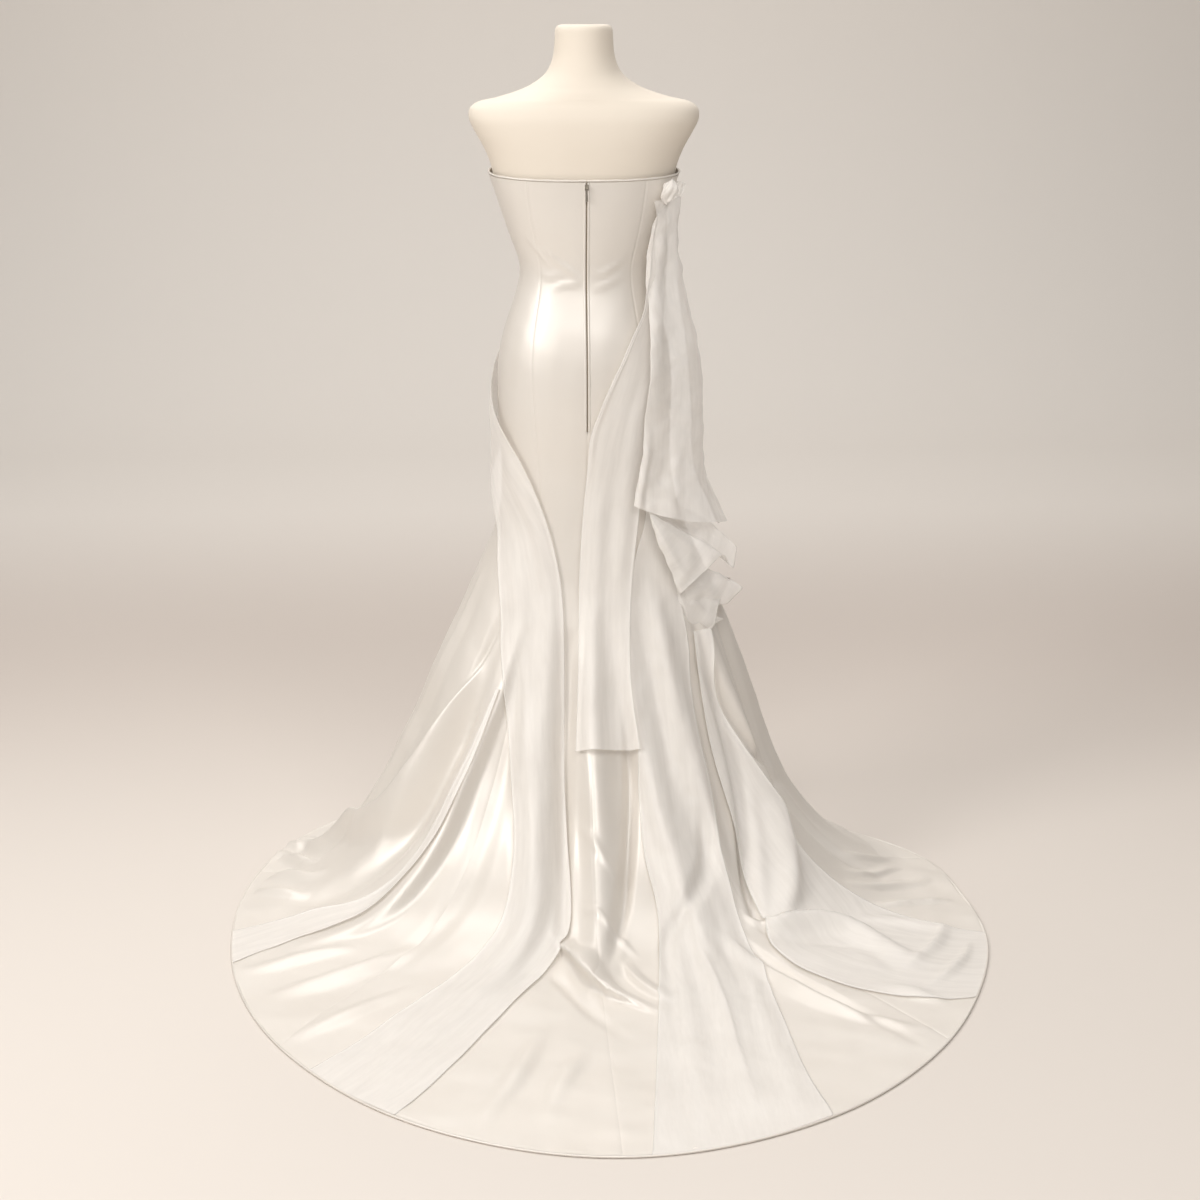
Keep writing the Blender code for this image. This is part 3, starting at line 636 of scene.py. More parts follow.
@dataclass(frozen=True)
class ClothFinish:
    """A woven cloth.

    Attributes:
        name: Name of the material.
        weave: How the threads cross.
        colour: Colour of the cloth in sRGB hex.
        shade: Colour of its slightly darker places.
        roughness: Roughness of the surface.
        thread: Width of one drawn thread in mm, and of the gap beside it.
        relief: Depth of the threads in mm.
        specular: Specular level.
        sheen: Weight of the soft edge light.
        anisotropic: How far the gloss is drawn out across the threads.
        lustre: Share of light that comes back tinted from the long floats of a satin face.
        coat: Weight of the glazed face that calendering leaves.
        opacity: Share of light that the cloth stops, on average.
    """

    name: str
    weave: Weave
    colour: str
    shade: str
    roughness: float
    thread: float
    relief: float
    specular: float = 0.5
    sheen: float = 0.0
    anisotropic: float = 0.0
    lustre: float = 0.0
    coat: float = 0.0
    opacity: float = 1.0

    # Radians that a wave texture turns through for each unit of scaled distance.
    BAND = 20.0
    # Scale, detail and roughness of the noise for the yarn's slubs, and for the slow change of
    # colour.
    SLUBS = (160.0, 3.0, 0.6)
    CLOUDS = (7.0, 4.0, 0.55)
    SLUB_SHARE = 0.8
    GLOSS = (-0.03, 0.05)
    # Streaks of a sheer cloth for each metre across and along it, and how much they vary.
    STREAKS = (52.0, 7.0, 1.0)
    STREAK_RANGE = 0.035
    SHEEN_ROUGHNESS = 0.4
    COAT_ROUGHNESS = 0.42

    def _ribs(
        self, tree: bpy.types.NodeTree, cloth: bpy.types.NodeSocket, axis: str
    ) -> bpy.types.NodeSocket:
        """Add the fine ridges of the threads that run one way."""
        scale = 1.0 / (self.thread * MM) / self.BAND * math.pi
        return add_node(
            tree, "ShaderNodeTexWave",
            {"wave_type": "BANDS", "bands_direction": axis, "wave_profile": "SIN"},
            {"Vector": cloth, "Scale": scale, "Distortion": 0.6, "Detail": 1.0,
             "Detail Scale": 2.0},
        ).outputs["Fac"]  # fmt: skip

    def _cover(
        self, tree: bpy.types.NodeTree, cloth: bpy.types.NodeSocket
    ) -> bpy.types.NodeSocket | float:
        """Return how much light the cloth stops, streaked along it where it is sheer."""
        if self.opacity >= 1.0:
            return self.opacity
        streaks = add_node(
            tree, "ShaderNodeVectorMath", {"operation": "MULTIPLY"}, {0: cloth, 1: self.STREAKS}
        ).outputs[0]
        haze = noise(tree, streaks, 1.0, 3.0, 0.55, "2D")
        low, high = self.opacity - self.STREAK_RANGE, self.opacity + self.STREAK_RANGE
        return spread(tree, haze, low, high, 0.3, 0.7)

    def make(self) -> bpy.types.Material:
        """Build the material."""
        finish = empty_finish(self.name)
        tree = finish.node_tree
        place = add_node(tree, "ShaderNodeTexCoord").outputs["Object"]
        cloth = add_node(tree, "ShaderNodeUVMap", {"uv_map": "Cloth"}).outputs["UV"]
        rows = self._ribs(tree, cloth, "X")
        if self.weave is not Weave.SATIN:
            weft = self._ribs(tree, cloth, "Y")
            crossed = add_node(tree, "ShaderNodeMath", {"operation": "MAXIMUM"}, {0: rows, 1: weft})
            rows = crossed.outputs[0]
        slubs = noise(tree, place, *self.SLUBS)
        relief = add_node(
            tree, "ShaderNodeMath", {"operation": "MULTIPLY_ADD"},
            {0: slubs, 1: self.SLUB_SHARE, 2: rows},
        ).outputs[0]  # fmt: skip
        tint = add_node(
            tree, "ShaderNodeMix", {"data_type": "RGBA"},
            {0: noise(tree, place, *self.CLOUDS), 6: linear(self.colour), 7: linear(self.shade)},
        ).outputs[2]  # fmt: skip
        low, high = (self.roughness + change for change in self.GLOSS)
        return close(finish, {
            "Base Color": tint,
            "Roughness": spread(tree, slubs, low, high),
            "Specular IOR Level": self.specular,
            "Sheen Weight": self.sheen,
            "Sheen Roughness": self.SHEEN_ROUGHNESS,
            "Anisotropic": self.anisotropic,
            "Metallic": self.lustre,
            "Coat Weight": self.coat,
            "Coat Roughness": self.COAT_ROUGHNESS,
            "Normal": bumped(tree, relief, 0.35, self.relief * MM),
            "Alpha": self._cover(tree, cloth),
        })  # fmt: skip


@dataclass(frozen=True)
class HardFinish:
    """A hard, even material: metal, lacquer or moulded plastic.

    Attributes:
        name: Name of the material.
        colour: Colour in sRGB hex.
        roughness: Roughness of the surface.
        metallic: 1 for bare metal, 0 for the rest.
        grain: Size of its finest marks in mm.
        coat: Weight of a clear coat.
    """

    name: str
    colour: str
    roughness: float
    metallic: float
    grain: float
    coat: float = 0.0

    GLOSS = (-0.05, 0.08)
    MARK_DEPTH = 0.00005

    def make(self) -> bpy.types.Material:
        """Build the material."""
        finish = empty_finish(self.name)
        tree = finish.node_tree
        place = add_node(tree, "ShaderNodeTexCoord").outputs["Object"]
        marks = noise(tree, place, 1.0 / (self.grain * MM), 3.0, 0.6)
        low, high = (self.roughness + change for change in self.GLOSS)
        return close(finish, {
            "Base Color": linear(self.colour),
            "Metallic": self.metallic,
            "Roughness": spread(tree, marks, low, high),
            "Coat Weight": self.coat,
            "Normal": bumped(tree, marks, 0.2, self.MARK_DEPTH),
        })  # fmt: skip


class Finishes:
    """Every finish of the dress and its form, made once."""

    def __init__(self) -> None:
        """Make the finishes."""
        # Polyester duchess satin, woven and calendered: long floats give a broad soft gloss.
        self.satin = ClothFinish(
            "duchess_satin_woven", Weave.SATIN, "#E4DFD8", "#DED7CE", 0.40, 0.9, 0.05,
            specular=1.0, anisotropic=0.3, lustre=0.10, coat=0.45,
        ).make()  # fmt: skip
        # Silk organza, plain woven from fine twisted yarn: crisp, sheer and slightly frosted.
        self.organza = ClothFinish(
            "silk_organza_plain_woven", Weave.PLAIN, "#FBF8F4", "#F6F2ED", 0.45, 0.9, 0.05,
            specular=0.5, sheen=0.2, opacity=0.62,
        ).make()  # fmt: skip
        # Cotton jersey pulled over the form: matt, with a very fine knitted face.
        self.jersey = ClothFinish(
            "cotton_jersey_knitted", Weave.JERSEY, "#E6DDD0", "#E2D8CA", 0.80, 1.0, 0.04,
            specular=0.25, sheen=0.10,
        ).make()  # fmt: skip
        # Polyester zip tape and coil, dyed and heat-set: dull, darker than the satin.
        self.coil = HardFinish("polyester_coil_dyed", "#8A7D6C", 0.48, 0.0, 0.4).make()
        # Nickel plate on die-cast zinc, barrel polished: small bright highlights.
        self.nickel = HardFinish("nickel_plate_polished", "#C9C2B6", 0.28, 1.0, 0.3).make()
        # Mild steel with a baked enamel coat: smooth, half gloss.
        self.enamel = HardFinish(
            "mild_steel_enamelled", "#E6DFD4", 0.42, 0.0, 1.2, coat=0.15
        ).make()


# ---------------------------------------------------------------------------------------------
# The satin gown
# ---------------------------------------------------------------------------------------------


def seam_shares(count: int) -> Array:
    """Return places across a panel, closer together near its two seams."""
    edge = np.array([0.0, 0.003, 0.010, 0.022])
    middle = np.linspace(0.045, 0.955, count)
    return np.concatenate([edge, middle, 1.0 - edge[::-1]])


def declare_cut(
    item: bpy.types.Object,
) -> None:
    """State the flat size that a sheet was cut to, as its own surface measures it."""
    mesh = item.data
    area = sum(face.area for face in mesh.polygons)
    spots = np.zeros(2 * len(mesh.loops), np.float32)
    mesh.uv_layers["Cloth"].data.foreach_get("uv", spots)
    spots = spots.reshape(-1, 2)
    width, length = (float(value) for value in spots.max(0) - spots.min(0))
    width = max(width, 1.002 * area / length, 0.012)
    LOG.info("%s: cut %.3f x %.3f m, %.3f m2", item.name, width, length, area)


@dataclass
class SatinGown:
    """The satin gown: seven panels sewn edge to edge, and the bound top edge.

    Attributes:
        drape: The gown's surface.
        finish: Duchess satin.
        seams: Direction of each seam at the levels of seam_levels.
        seam_levels: Levels where the seams' directions are given.
        panels: Name and number of columns of each panel, in the seams' order.
        zip_seam: Number of the seam that holds the zip.
        zip_end: Level where the zip ends.
        zip_slot: Width of the slot that the zip closes.
        slot_reach: How far into each panel the cloth gives way to the slot.
        seam_width: Reach of a seam's soft dip on each side.
        seam_depth: Depth of a seam's dip.
        hem_roll: Reach and height of each row of the hem's roll, from its top to its inside.
        pucker_height: Height of the puckers above the hem.
        pucker_reach: How far from the hem they run.
        pucker_lengths: Length along the hem, over one radian, of a pucker, of the change in
            their spacing and of the patches that have them.
        band_gap: Degrees from the centre back to each end of the binding.
        band_half: Half the binding's depth through.
        band_rise: Height of the binding's crown.
    """

    drape: Drape
    finish: bpy.types.Material
    seams: tuple[Row, ...] = (
        (-128, -132, -134, -134),
        (-90, -90, -90, -90),
        (-52, -54, -45, -34),
        (0, 0, 0, 0),
        (52, 54, 45, 34),
        (90, 90, 90, 90),
        (128, 132, 134, 134),
    )
    seam_levels: Row = (0.0, 4.0, 8.0, 25.0)
    panels: tuple[tuple[str, int], ...] = (
        ("side_front_right", 44),
        ("side_back_right", 84),
        ("centre_back_right", 76),
        ("centre_back_left", 76),
        ("side_back_left", 84),
        ("side_front_left", 44),
        ("centre_front", 70),
    )
    zip_seam: int = 3
    zip_end: float = 8.84
    zip_slot: float = 0.0034
    slot_reach: float = 0.012
    seam_width: float = 0.0035
    seam_depth: float = 0.0006
    hem_roll: tuple[Row, ...] = (
        (0.0012, 0.0046), (0.0026, 0.0036), (0.0028, 0.0022), (0.0018, 0.0009), (-0.006, 0.0006),
    )  # fmt: skip
    pucker_height: float = 0.0009
    pucker_reach: float = 0.05
    pucker_lengths: Row = (0.0115, 0.09, 0.21)
    band_gap: float = 0.6
    band_half: float = 0.0021
    band_rise: float = 0.0036

    def seam(self, index: int, level: Array) -> Array:
        """Return the direction of a seam at some levels, counting on round the body."""
        turns, row = divmod(index, len(self.seams))
        return through(self.seam_levels, self.seams[row], level) + 360.0 * turns

    def panel(self, index: int, name: str, columns: int) -> bpy.types.Object:
        """Build one satin panel with its turned-up hem.

        Args:
            index: Number of the seam on the panel's right.
            name: Name of the panel.
            columns: Columns across.

        Returns:
            The panel.
        """
        level = self.drape.levels[:, None]
        share = seam_shares(columns)[None, :]
        first, last = self.seam(index, level), self.seam(index + 1, level)
        direction = first + (last - first) * share
        points = self.drape.read(self.drape.satin, direction, level)
        normal = unit(self.drape.read(self.drape.normal, direction, level))
        across = run_along(points, 1)
        for side, seam in ((0, index), (-1, index + 1)):
            away = across if side == 0 else across[:, -1:] - across
            dip = self.seam_depth * (1.0 - smooth_step(away / self.seam_width))
            if seam % len(self.seams) == self.zip_seam:
                open_rows = smooth_step((self.zip_end - level) / 0.06)
                inner = unit(points[:, 4 if side == 0 else -5] - points[:, side])[:, None]
                slot = 0.5 * self.zip_slot * open_rows * (1.0 - smooth_step(away / self.slot_reach))
                points += inner * slot[..., None]
                dip = dip * (1.0 - 0.4 * open_rows)
            points -= normal * dip[..., None]
        return grid_mesh(f"satin_{name}", self._with_hem(points, direction))

    def _with_hem(self, points: Array, direction: Array) -> Array:
        """Add puckers near the hem, and roll its edge under to the floor."""
        edge = points[-1]
        away = np.linalg.norm(points - edge[None], axis=-1)
        along = np.radians(direction) * np.linalg.norm(edge[:, :2], axis=-1)[None]
        eased = (1.0 - smooth_step(away / self.pucker_reach)) * smooth_step(away / 0.006 + 0.2)
        short, middle, long = self.pucker_lengths
        pucker = np.sin(along / short + 2.0 * np.sin(along / middle))
        patchy = smooth_step(0.5 + 0.9 * np.sin(along / long + 1.0))
        points[..., 2] += self.pucker_height * eased * patchy * (1.0 + pucker)
        out = unit(edge * np.array([1.0, 1.0, 0.0]))
        rolled = []
        for reach, height in self.hem_roll:
            row = edge + out * reach
            row[:, 2] = height
            rolled.append(row)
        return np.concatenate([points, np.stack(rolled)])

    def binding(self) -> bpy.types.Object:
        """Build the narrow rolled binding along the top edge, open at the zip."""
        direction = np.linspace(self.band_gap, 360.0 - self.band_gap, 361)[None, :]
        base = self.drape.read(self.drape.satin, direction, 0.0)
        out = unit(base * np.array([1.0, 1.0, 0.0]))
        turn = np.radians(np.linspace(-70.0, 250.0, 12))[:, None, None]
        wobble = 0.0003 * np.sin(np.radians(direction) * 23.0)[..., None]
        across = self.band_half * np.cos(turn) - 0.0006
        rise = (self.band_rise + wobble) * (0.5 + 0.5 * np.sin(turn))
        points = base + out * across + np.array([0.0, 0.0, 1.0]) * (rise + 0.0008)
        return grid_mesh("satin_binding", points)

    def build(self) -> None:
        """Build and dress every satin piece of the gown."""
        for index, (name, columns) in enumerate(self.panels):
            item = self.panel(index, name, columns)
            dress(item, self.finish, f"gown_{name}")
            declare_cut(item)
        band = self.binding()
        dress(band, self.finish, "top_binding")
        declare_cut(band)


# ---------------------------------------------------------------------------------------------
# The organza
# ---------------------------------------------------------------------------------------------


@dataclass(frozen=True)
class OrganzaPanel:
    """One organza piece that lies on the gown or hangs off it.

    Attributes:
        name: Name of the CAD node that it stands for.
        rows: Level, direction of the right and the left edge, and how far each edge stands off.
        columns: Columns across.
        pleats: Crests and troughs: share across at the start and at the end, first and last
            share of the length, half width as a share of the width, and height in mm.
        slant: Levels by which the left edge ends above the right one.
        crumple: Height of its small creases in mm.
        hem: Width of the narrow hem turned under along each long edge.
        step: Length between two rows.
    """

    name: str
    rows: tuple[Row, ...]
    columns: int
    pleats: tuple[Row, ...] = ()
    slant: float = 0.0
    crumple: float = 0.35
    hem: float = 0.006
    step: float = 0.006

    CLEARANCE = 0.0014
    SLANT_START = 0.6
    PLEAT_END = 0.22
    FLOOR_GAP = 0.0009
    # Length, seed and share of the soft creases, and of the sharp ones.
    CREASES = ((0.05, 21, 0.5), (0.022, 22, 0.25))
    SHARP_CREASES = (0.09, 23, 0.6)

    def build(self, drape: Drape) -> bpy.types.Object:
        """Build the panel over the gown's surface."""
        rows = np.array(self.rows, float)
        fine = np.linspace(rows[0, 0], rows[-1, 0], 400)
        middle = through(rows[:, 0], rows[:, 1:3].mean(1), fine)
        length = run_along(drape.read(drape.cover, middle, fine))
        count = max(int(length[-1] / self.step), 8)
        along = np.linspace(0.0, 1.0, count)[:, None]
        level = np.interp(along * length[-1], length, fine)
        right, left, lift_right, lift_left = (
            through(rows[:, 0], rows[:, k], level) for k in (1, 2, 3, 4)
        )
        share = np.linspace(0.0, 1.0, self.columns)[None, :]
        direction = right + (left - right) * share
        lift = lift_right + (lift_left - lift_right) * share
        slanted = smooth_step((along - self.SLANT_START) / (1.0 - self.SLANT_START))
        level = level - self.slant * share * slanted
        lift = np.maximum(lift + self._pleated(along, share), self.CLEARANCE)
        points = drape.above(direction, level, lift)
        folds = sum(soft_waves(points, size, seed) * part for size, seed, part in self.CREASES)
        size, seed, part = self.SHARP_CREASES
        folds += part * (0.5 - np.abs(soft_waves(points, size, seed)))
        points += unit(drape.read(drape.normal, direction, level)) * (
            folds * self.crumple * MM * smooth_step(lift / 0.006)
        )[..., None]
        piece = self.name.replace("organza", "silk")
        return grid_mesh(piece, self._hemmed(points, drape, direction, level))

    def _pleated(self, along: Array, share: Array) -> Array:
        """Return the height of the pleats across and along the panel."""
        total = np.zeros(np.broadcast_shapes(along.shape, share.shape))
        for start, end, first, last, half, height in self.pleats:
            t = np.clip((along - first) / (last - first), 0.0, 1.0)
            centre = start + (end - start) * t
            side = np.clip(np.abs(share - centre) / half, 0.0, 1.0)
            ends = smooth_step(t / self.PLEAT_END) * smooth_step((1.0 - t) / self.PLEAT_END)
            total += height * MM * ends * np.cos(0.5 * math.pi * side) ** 2
        return total

    def _hemmed(self, points: Array, drape: Drape, direction: Array, level: Array) -> Array:
        """Turn the two long edges under, so that each shows as a narrow denser hem."""
        normal = unit(drape.read(drape.normal, direction, level))
        sides = []
        for edge, inner in ((0, 2), (-1, -3)):
            inward = unit(points[:, inner] - points[:, edge])
            under = points[:, edge] + inward * self.hem - normal[:, edge] * 0.0005
            fold = points[:, edge] - normal[:, edge] * 0.0003
            sides.append((under, fold))
        (under_a, fold_a), (under_b, fold_b) = sides
        columns = [under_a, fold_a, *np.moveaxis(points, 1, 0), fold_b, under_b]
        grid = np.stack(columns, axis=1)
        grid[..., 2] = np.maximum(grid[..., 2], self.FLOOR_GAP)
        return grid


@dataclass(frozen=True)
class Ruffle:
    """A gathered tier, shaped through rows of points and rippled by small soft waves.

    Attributes:
        name: Name of the piece, and of the CAD node that it stands for.
        rows: Rows of points in mm, each from its gathered edge to its free edge.
        size: Rows and columns of the finished sheet.
        waves: Height of the small waves in mm.
        seed: Number that picks the waves.
        hem: Width of the narrow hem along the free edge.
    """

    name: str
    rows: tuple[tuple[Row, ...], ...]
    size: tuple[int, int]
    waves: float
    seed: int
    hem: float = 0.004

    ROUNDING = 0.16
    WAVE_LENGTH, CREASE_LENGTH, CREASE_SHARE = 0.04, 0.07, 0.8

    def build(self) -> bpy.types.Object:
        """Build the ruffle."""
        table = np.array(self.rows, float) * MM
        count, columns = self.size
        steps = np.linspace(0, table.shape[0] - 1, count)
        first = np.minimum(steps.astype(int), table.shape[0] - 2)
        part = (steps - first)[:, None, None]
        down = table[first] * (1.0 - part) + table[first + 1] * part
        reach = max(int(self.ROUNDING * count / (table.shape[0] - 1)), 1)
        rounded = np.pad(down, ((reach, reach), (0, 0), (0, 0)), mode="edge")
        down = sum(rounded[k : k + count] for k in range(2 * reach + 1)) / (2 * reach + 1)
        across = np.swapaxes(down, 0, 1)
        places = np.linspace(0, table.shape[1] - 1, columns)
        points = np.swapaxes(through(np.arange(table.shape[1]), across, places), 0, 1)
        side = unit(np.cross(np.gradient(points, axis=0), np.gradient(points, axis=1)))
        creases = 0.5 - np.abs(soft_waves(points, self.CREASE_LENGTH, self.seed + 1))
        ripple = soft_waves(points, self.WAVE_LENGTH, self.seed) + self.CREASE_SHARE * creases
        points = points + side * (ripple * self.waves * MM)[..., None]
        inward = unit(points[:, -3] - points[:, -1])
        fold = points[:, -1] - side[:, -1] * 0.0004
        under = points[:, -1] + inward * self.hem - side[:, -1] * 0.0007
        piece = self.name.replace("organza", "silk")
        return grid_mesh(piece, np.concatenate([points, fold[:, None], under[:, None]], axis=1))


LEFT_WIDE = OrganzaPanel(
    "organza_left_wide",
    (
        (6.6, 112, 132, 0.006, 0.006),
        (7.6, 92, 132, 0.010, 0.008),
        (8.6, 71, 128, 0.018, 0.014),
        (9.5, 55, 114, 0.014, 0.022),
        (10.4, 42.5, 93, 0.009, 0.020),
        (11.2, 32, 76, 0.007, 0.010),
        (12.0, 23.5, 66, 0.006, 0.008),
        (12.7, 18.6, 58, 0.006, 0.007),
        (13.5, 15.8, 51, 0.006, 0.006),
        (14.5, 13.7, 42.5, 0.006, 0.006),
        (15.8, 11.5, 33, 0.006, 0.006),
        (17.0, 8.8, 26, 0.006, 0.006),
        (18.0, 6.8, 23.2, 0.006, 0.006),
        (19.0, 6.2, 22.2, 0.006, 0.006),
        (20.0, 8.6, 23.2, 0.005, 0.005),
        (21.0, 12.0, 25.0, 0.004, 0.004),
        (22.0, 14.4, 26.2, 0.003, 0.003),
        (23.5, 16.3, 27.4, 0.002, 0.002),
        (25.0, 17.9, 28.4, 0.0016, 0.0016),
    ),
    columns=72,
    pleats=(
        (0.20, 0.30, 0.10, 0.62, 0.20, 4.0),
        (0.70, 0.62, 0.20, 0.85, 0.22, 5.0),
        (0.40, 0.46, 0.45, 0.98, 0.16, 2.5),
    ),
)

LEFT_NARROW = OrganzaPanel(
    "organza_left_narrow",
    (
        (14.4, 45.0, 46.5, 0.005, 0.005),
        (15.4, 45.5, 48.0, 0.006, 0.006),
        (16.4, 46.3, 49.2, 0.006, 0.006),
        (17.5, 47.6, 51.2, 0.006, 0.006),
        (18.5, 49.7, 54.0, 0.006, 0.006),
        (19.3, 51.8, 58.0, 0.006, 0.006),
        (20.3, 54.8, 63.8, 0.005, 0.005),
        (21.6, 56.2, 65.2, 0.003, 0.003),
        (23.2, 56.0, 65.6, 0.0018, 0.0018),
        (25.0, 54.7, 65.3, 0.0016, 0.0016),
    ),
    columns=26,
    crumple=0.25,
)

CENTRE_TAIL = OrganzaPanel(
    "organza_centre_tail",
    (
        (0.9, -66, -58, 0.010, 0.010),
        (1.6, -72, -62, 0.014, 0.014),
        (2.5, -76, -62, 0.022, 0.020),
        (3.3, -80, -62, 0.032, 0.028),
        (4.2, -82, -60, 0.034, 0.032),
        (5.0, -80, -56, 0.026, 0.024),
        (5.6, -74, -51, 0.018, 0.018),
        (6.3, -66, -39, 0.013, 0.013),
        (7.1, -60, -27, 0.012, 0.009),
        (7.8, -57, -16.3, 0.012, 0.007),
        (8.4, -55, -8.5, 0.012, 0.005),
        (8.9, -54, -2.5, 0.012, 0.005),
        (9.6, -50, 0.0, 0.012, 0.007),
        (10.5, -44, 3.4, 0.014, 0.008),
        (11.4, -38.5, 6.0, 0.015, 0.009),
        (12.3, -32, 7.2, 0.016, 0.011),
        (13.2, -26.5, 7.0, 0.017, 0.013),
        (14.2, -22.5, 6.8, 0.018, 0.015),
        (15.5, -21.0, 7.0, 0.020, 0.017),
    ),
    columns=64,
    pleats=(
        (0.30, 0.22, 0.30, 0.75, 0.20, 4.0),
        (0.70, 0.66, 0.45, 1.20, 0.24, 5.0),
        (0.97, 0.97, 0.08, 0.55, 0.12, 3.0),
    ),
    crumple=0.5,
)

LONG_PANEL = OrganzaPanel(
    "organza_long_panel",
    (
        (10.2, -60, -50, 0.006, 0.006),
        (11.0, -60, -47, 0.006, 0.006),
        (11.8, -59, -37, 0.006, 0.006),
        (12.7, -58, -29.5, 0.006, 0.006),
        (13.6, -55.5, -24.5, 0.006, 0.006),
        (14.4, -50.5, -22.2, 0.006, 0.006),
        (15.3, -46.3, -21.3, 0.006, 0.006),
        (16.2, -43.8, -18.2, 0.006, 0.006),
        (17.4, -38.5, -15.8, 0.006, 0.006),
        (18.4, -35.5, -15.5, 0.006, 0.006),
        (19.5, -31.3, -13, 0.006, 0.006),
        (20.7, -27.3, -9.2, 0.005, 0.005),
        (22.0, -22.5, -5.8, 0.003, 0.003),
        (23.4, -18.6, -3.5, 0.002, 0.002),
        (25.0, -16.8, -2.0, 0.0016, 0.0016),
    ),
    columns=68,
    pleats=(
        (0.45, 0.30, 0.10, 0.62, 0.22, 6.0),
        (0.85, 0.72, 0.30, 0.95, 0.16, 5.0),
        (0.20, 0.12, 0.45, 0.98, 0.14, 4.0),
    ),
    crumple=0.9,
)

RIGHT_STRIP = OrganzaPanel(
    "organza_right_strip",
    (
        (13.4, -66, -58.5, 0.012, 0.012),
        (14.6, -61, -53, 0.012, 0.012),
        (15.7, -61.5, -49, 0.011, 0.010),
        (17.0, -63, -46.5, 0.010, 0.009),
        (18.2, -63, -42, 0.008, 0.008),
        (19.2, -62.5, -38, 0.007, 0.007),
        (20.3, -62.4, -33, 0.005, 0.005),
        (21.5, -61.6, -33, 0.004, 0.004),
        (22.7, -61, -36, 0.003, 0.003),
        (23.8, -61.3, -39.5, 0.002, 0.002),
        (25.0, -61.8, -43.7, 0.0016, 0.0016),
    ),
    columns=56,
    crumple=0.3,
)

CASCADE_UPPER = OrganzaPanel(
    "organza_cascade_upper",
    (
        (0.9, -90, -66, 0.018, 0.010),
        (1.4, -97, -63, 0.026, 0.012),
        (2.0, -103, -61.5, 0.036, 0.012),
        (3.0, -107, -62, 0.058, 0.013),
        (4.0, -109, -62.5, 0.078, 0.014),
        (5.0, -109, -58.5, 0.070, 0.015),
        (6.0, -109, -52.5, 0.062, 0.016),
        (7.0, -109, -47, 0.060, 0.018),
        (8.0, -109, -44, 0.064, 0.020),
        (9.0, -108, -43, 0.068, 0.023),
        (10.0, -107, -41.5, 0.066, 0.026),
        (10.6, -106, -40, 0.068, 0.028),
        (11.3, -105, -38, 0.074, 0.030),
        (11.9, -104, -36, 0.076, 0.030),
    ),
    columns=84,
    pleats=(
        (0.80, 1.03, 0.0, 0.62, 0.24, 12.0),
        (0.96, 0.96, 0.55, 1.40, 0.07, 5.0),
        (0.45, 0.36, 0.02, 0.95, 0.26, 9.0),
        (0.12, 0.10, 0.15, 1.30, 0.14, 6.0),
        (0.66, 0.72, 0.62, 1.30, 0.12, 6.0),
    ),
    slant=1.35,
    crumple=1.8,
    step=0.0055,
)

CASCADE_MIDDLE = Ruffle(
    "organza_cascade_middle",
    (
        ((-125, 100, 735), (-165, 75, 715), (-205, 45, 690), (-232, 30, 668)),
        ((-120, 100, 725), (-170, 70, 700), (-220, 40, 665), (-262, 22, 640)),
        ((-118, 102, 715), (-170, 66, 688), (-225, 38, 650), (-278, 18, 622)),
        ((-115, 104, 712), (-168, 70, 680), (-222, 44, 635), (-272, 24, 584)),
        ((-112, 108, 711), (-160, 85, 680), (-210, 62, 640), (-258, 50, 600)),
        ((-110, 124, 711), (-156, 114, 683), (-203, 100, 655), (-248, 85, 627)),
        ((-110, 127, 709), (-150, 124, 676), (-190, 116, 643), (-225, 102, 613)),
        ((-110, 128, 707), (-136, 134, 660), (-160, 134, 618), (-188, 124, 582)),
        ((-110, 127, 705), (-126, 130, 655), (-144, 130, 608), (-164, 125, 562)),
        ((-112, 122, 700), (-132, 116, 655), (-160, 104, 612), (-200, 90, 580)),
        ((-118, 116, 695), (-155, 96, 648), (-208, 70, 603), (-262, 45, 572)),
        ((-128, 108, 684), (-172, 96, 634), (-228, 74, 592), (-288, 40, 551)),
        ((-134, 112, 672), (-165, 112, 618), (-210, 96, 568), (-258, 62, 526)),
        ((-138, 114, 662), (-155, 118, 612), (-168, 117, 572), (-180, 111, 538)),
    ),
    size=(220, 70),
    waves=1.3,
    seed=31,
)

CASCADE_LOWER = Ruffle(
    "organza_cascade_lower",
    (
        ((-150, 96, 636), (-185, 78, 606), (-222, 62, 574), (-252, 52, 548)),
        ((-150, 106, 622), (-177, 98, 588), (-208, 90, 556), (-238, 84, 531)),
        ((-150, 110, 610), (-173, 108, 572), (-203, 102, 532), (-231, 92, 496)),
        ((-152, 112, 600), (-168, 112, 553), (-186, 106, 503), (-199, 97, 455)),
        ((-154, 110, 595), (-160, 111, 560), (-165, 109, 533), (-168, 105, 508)),
        ((-160, 101, 590), (-180, 90, 550), (-202, 78, 512), (-224, 66, 484)),
        ((-170, 90, 584), (-196, 78, 545), (-226, 62, 512), (-252, 50, 496)),
    ),
    size=(120, 56),
    waves=1.1,
    seed=32,
)


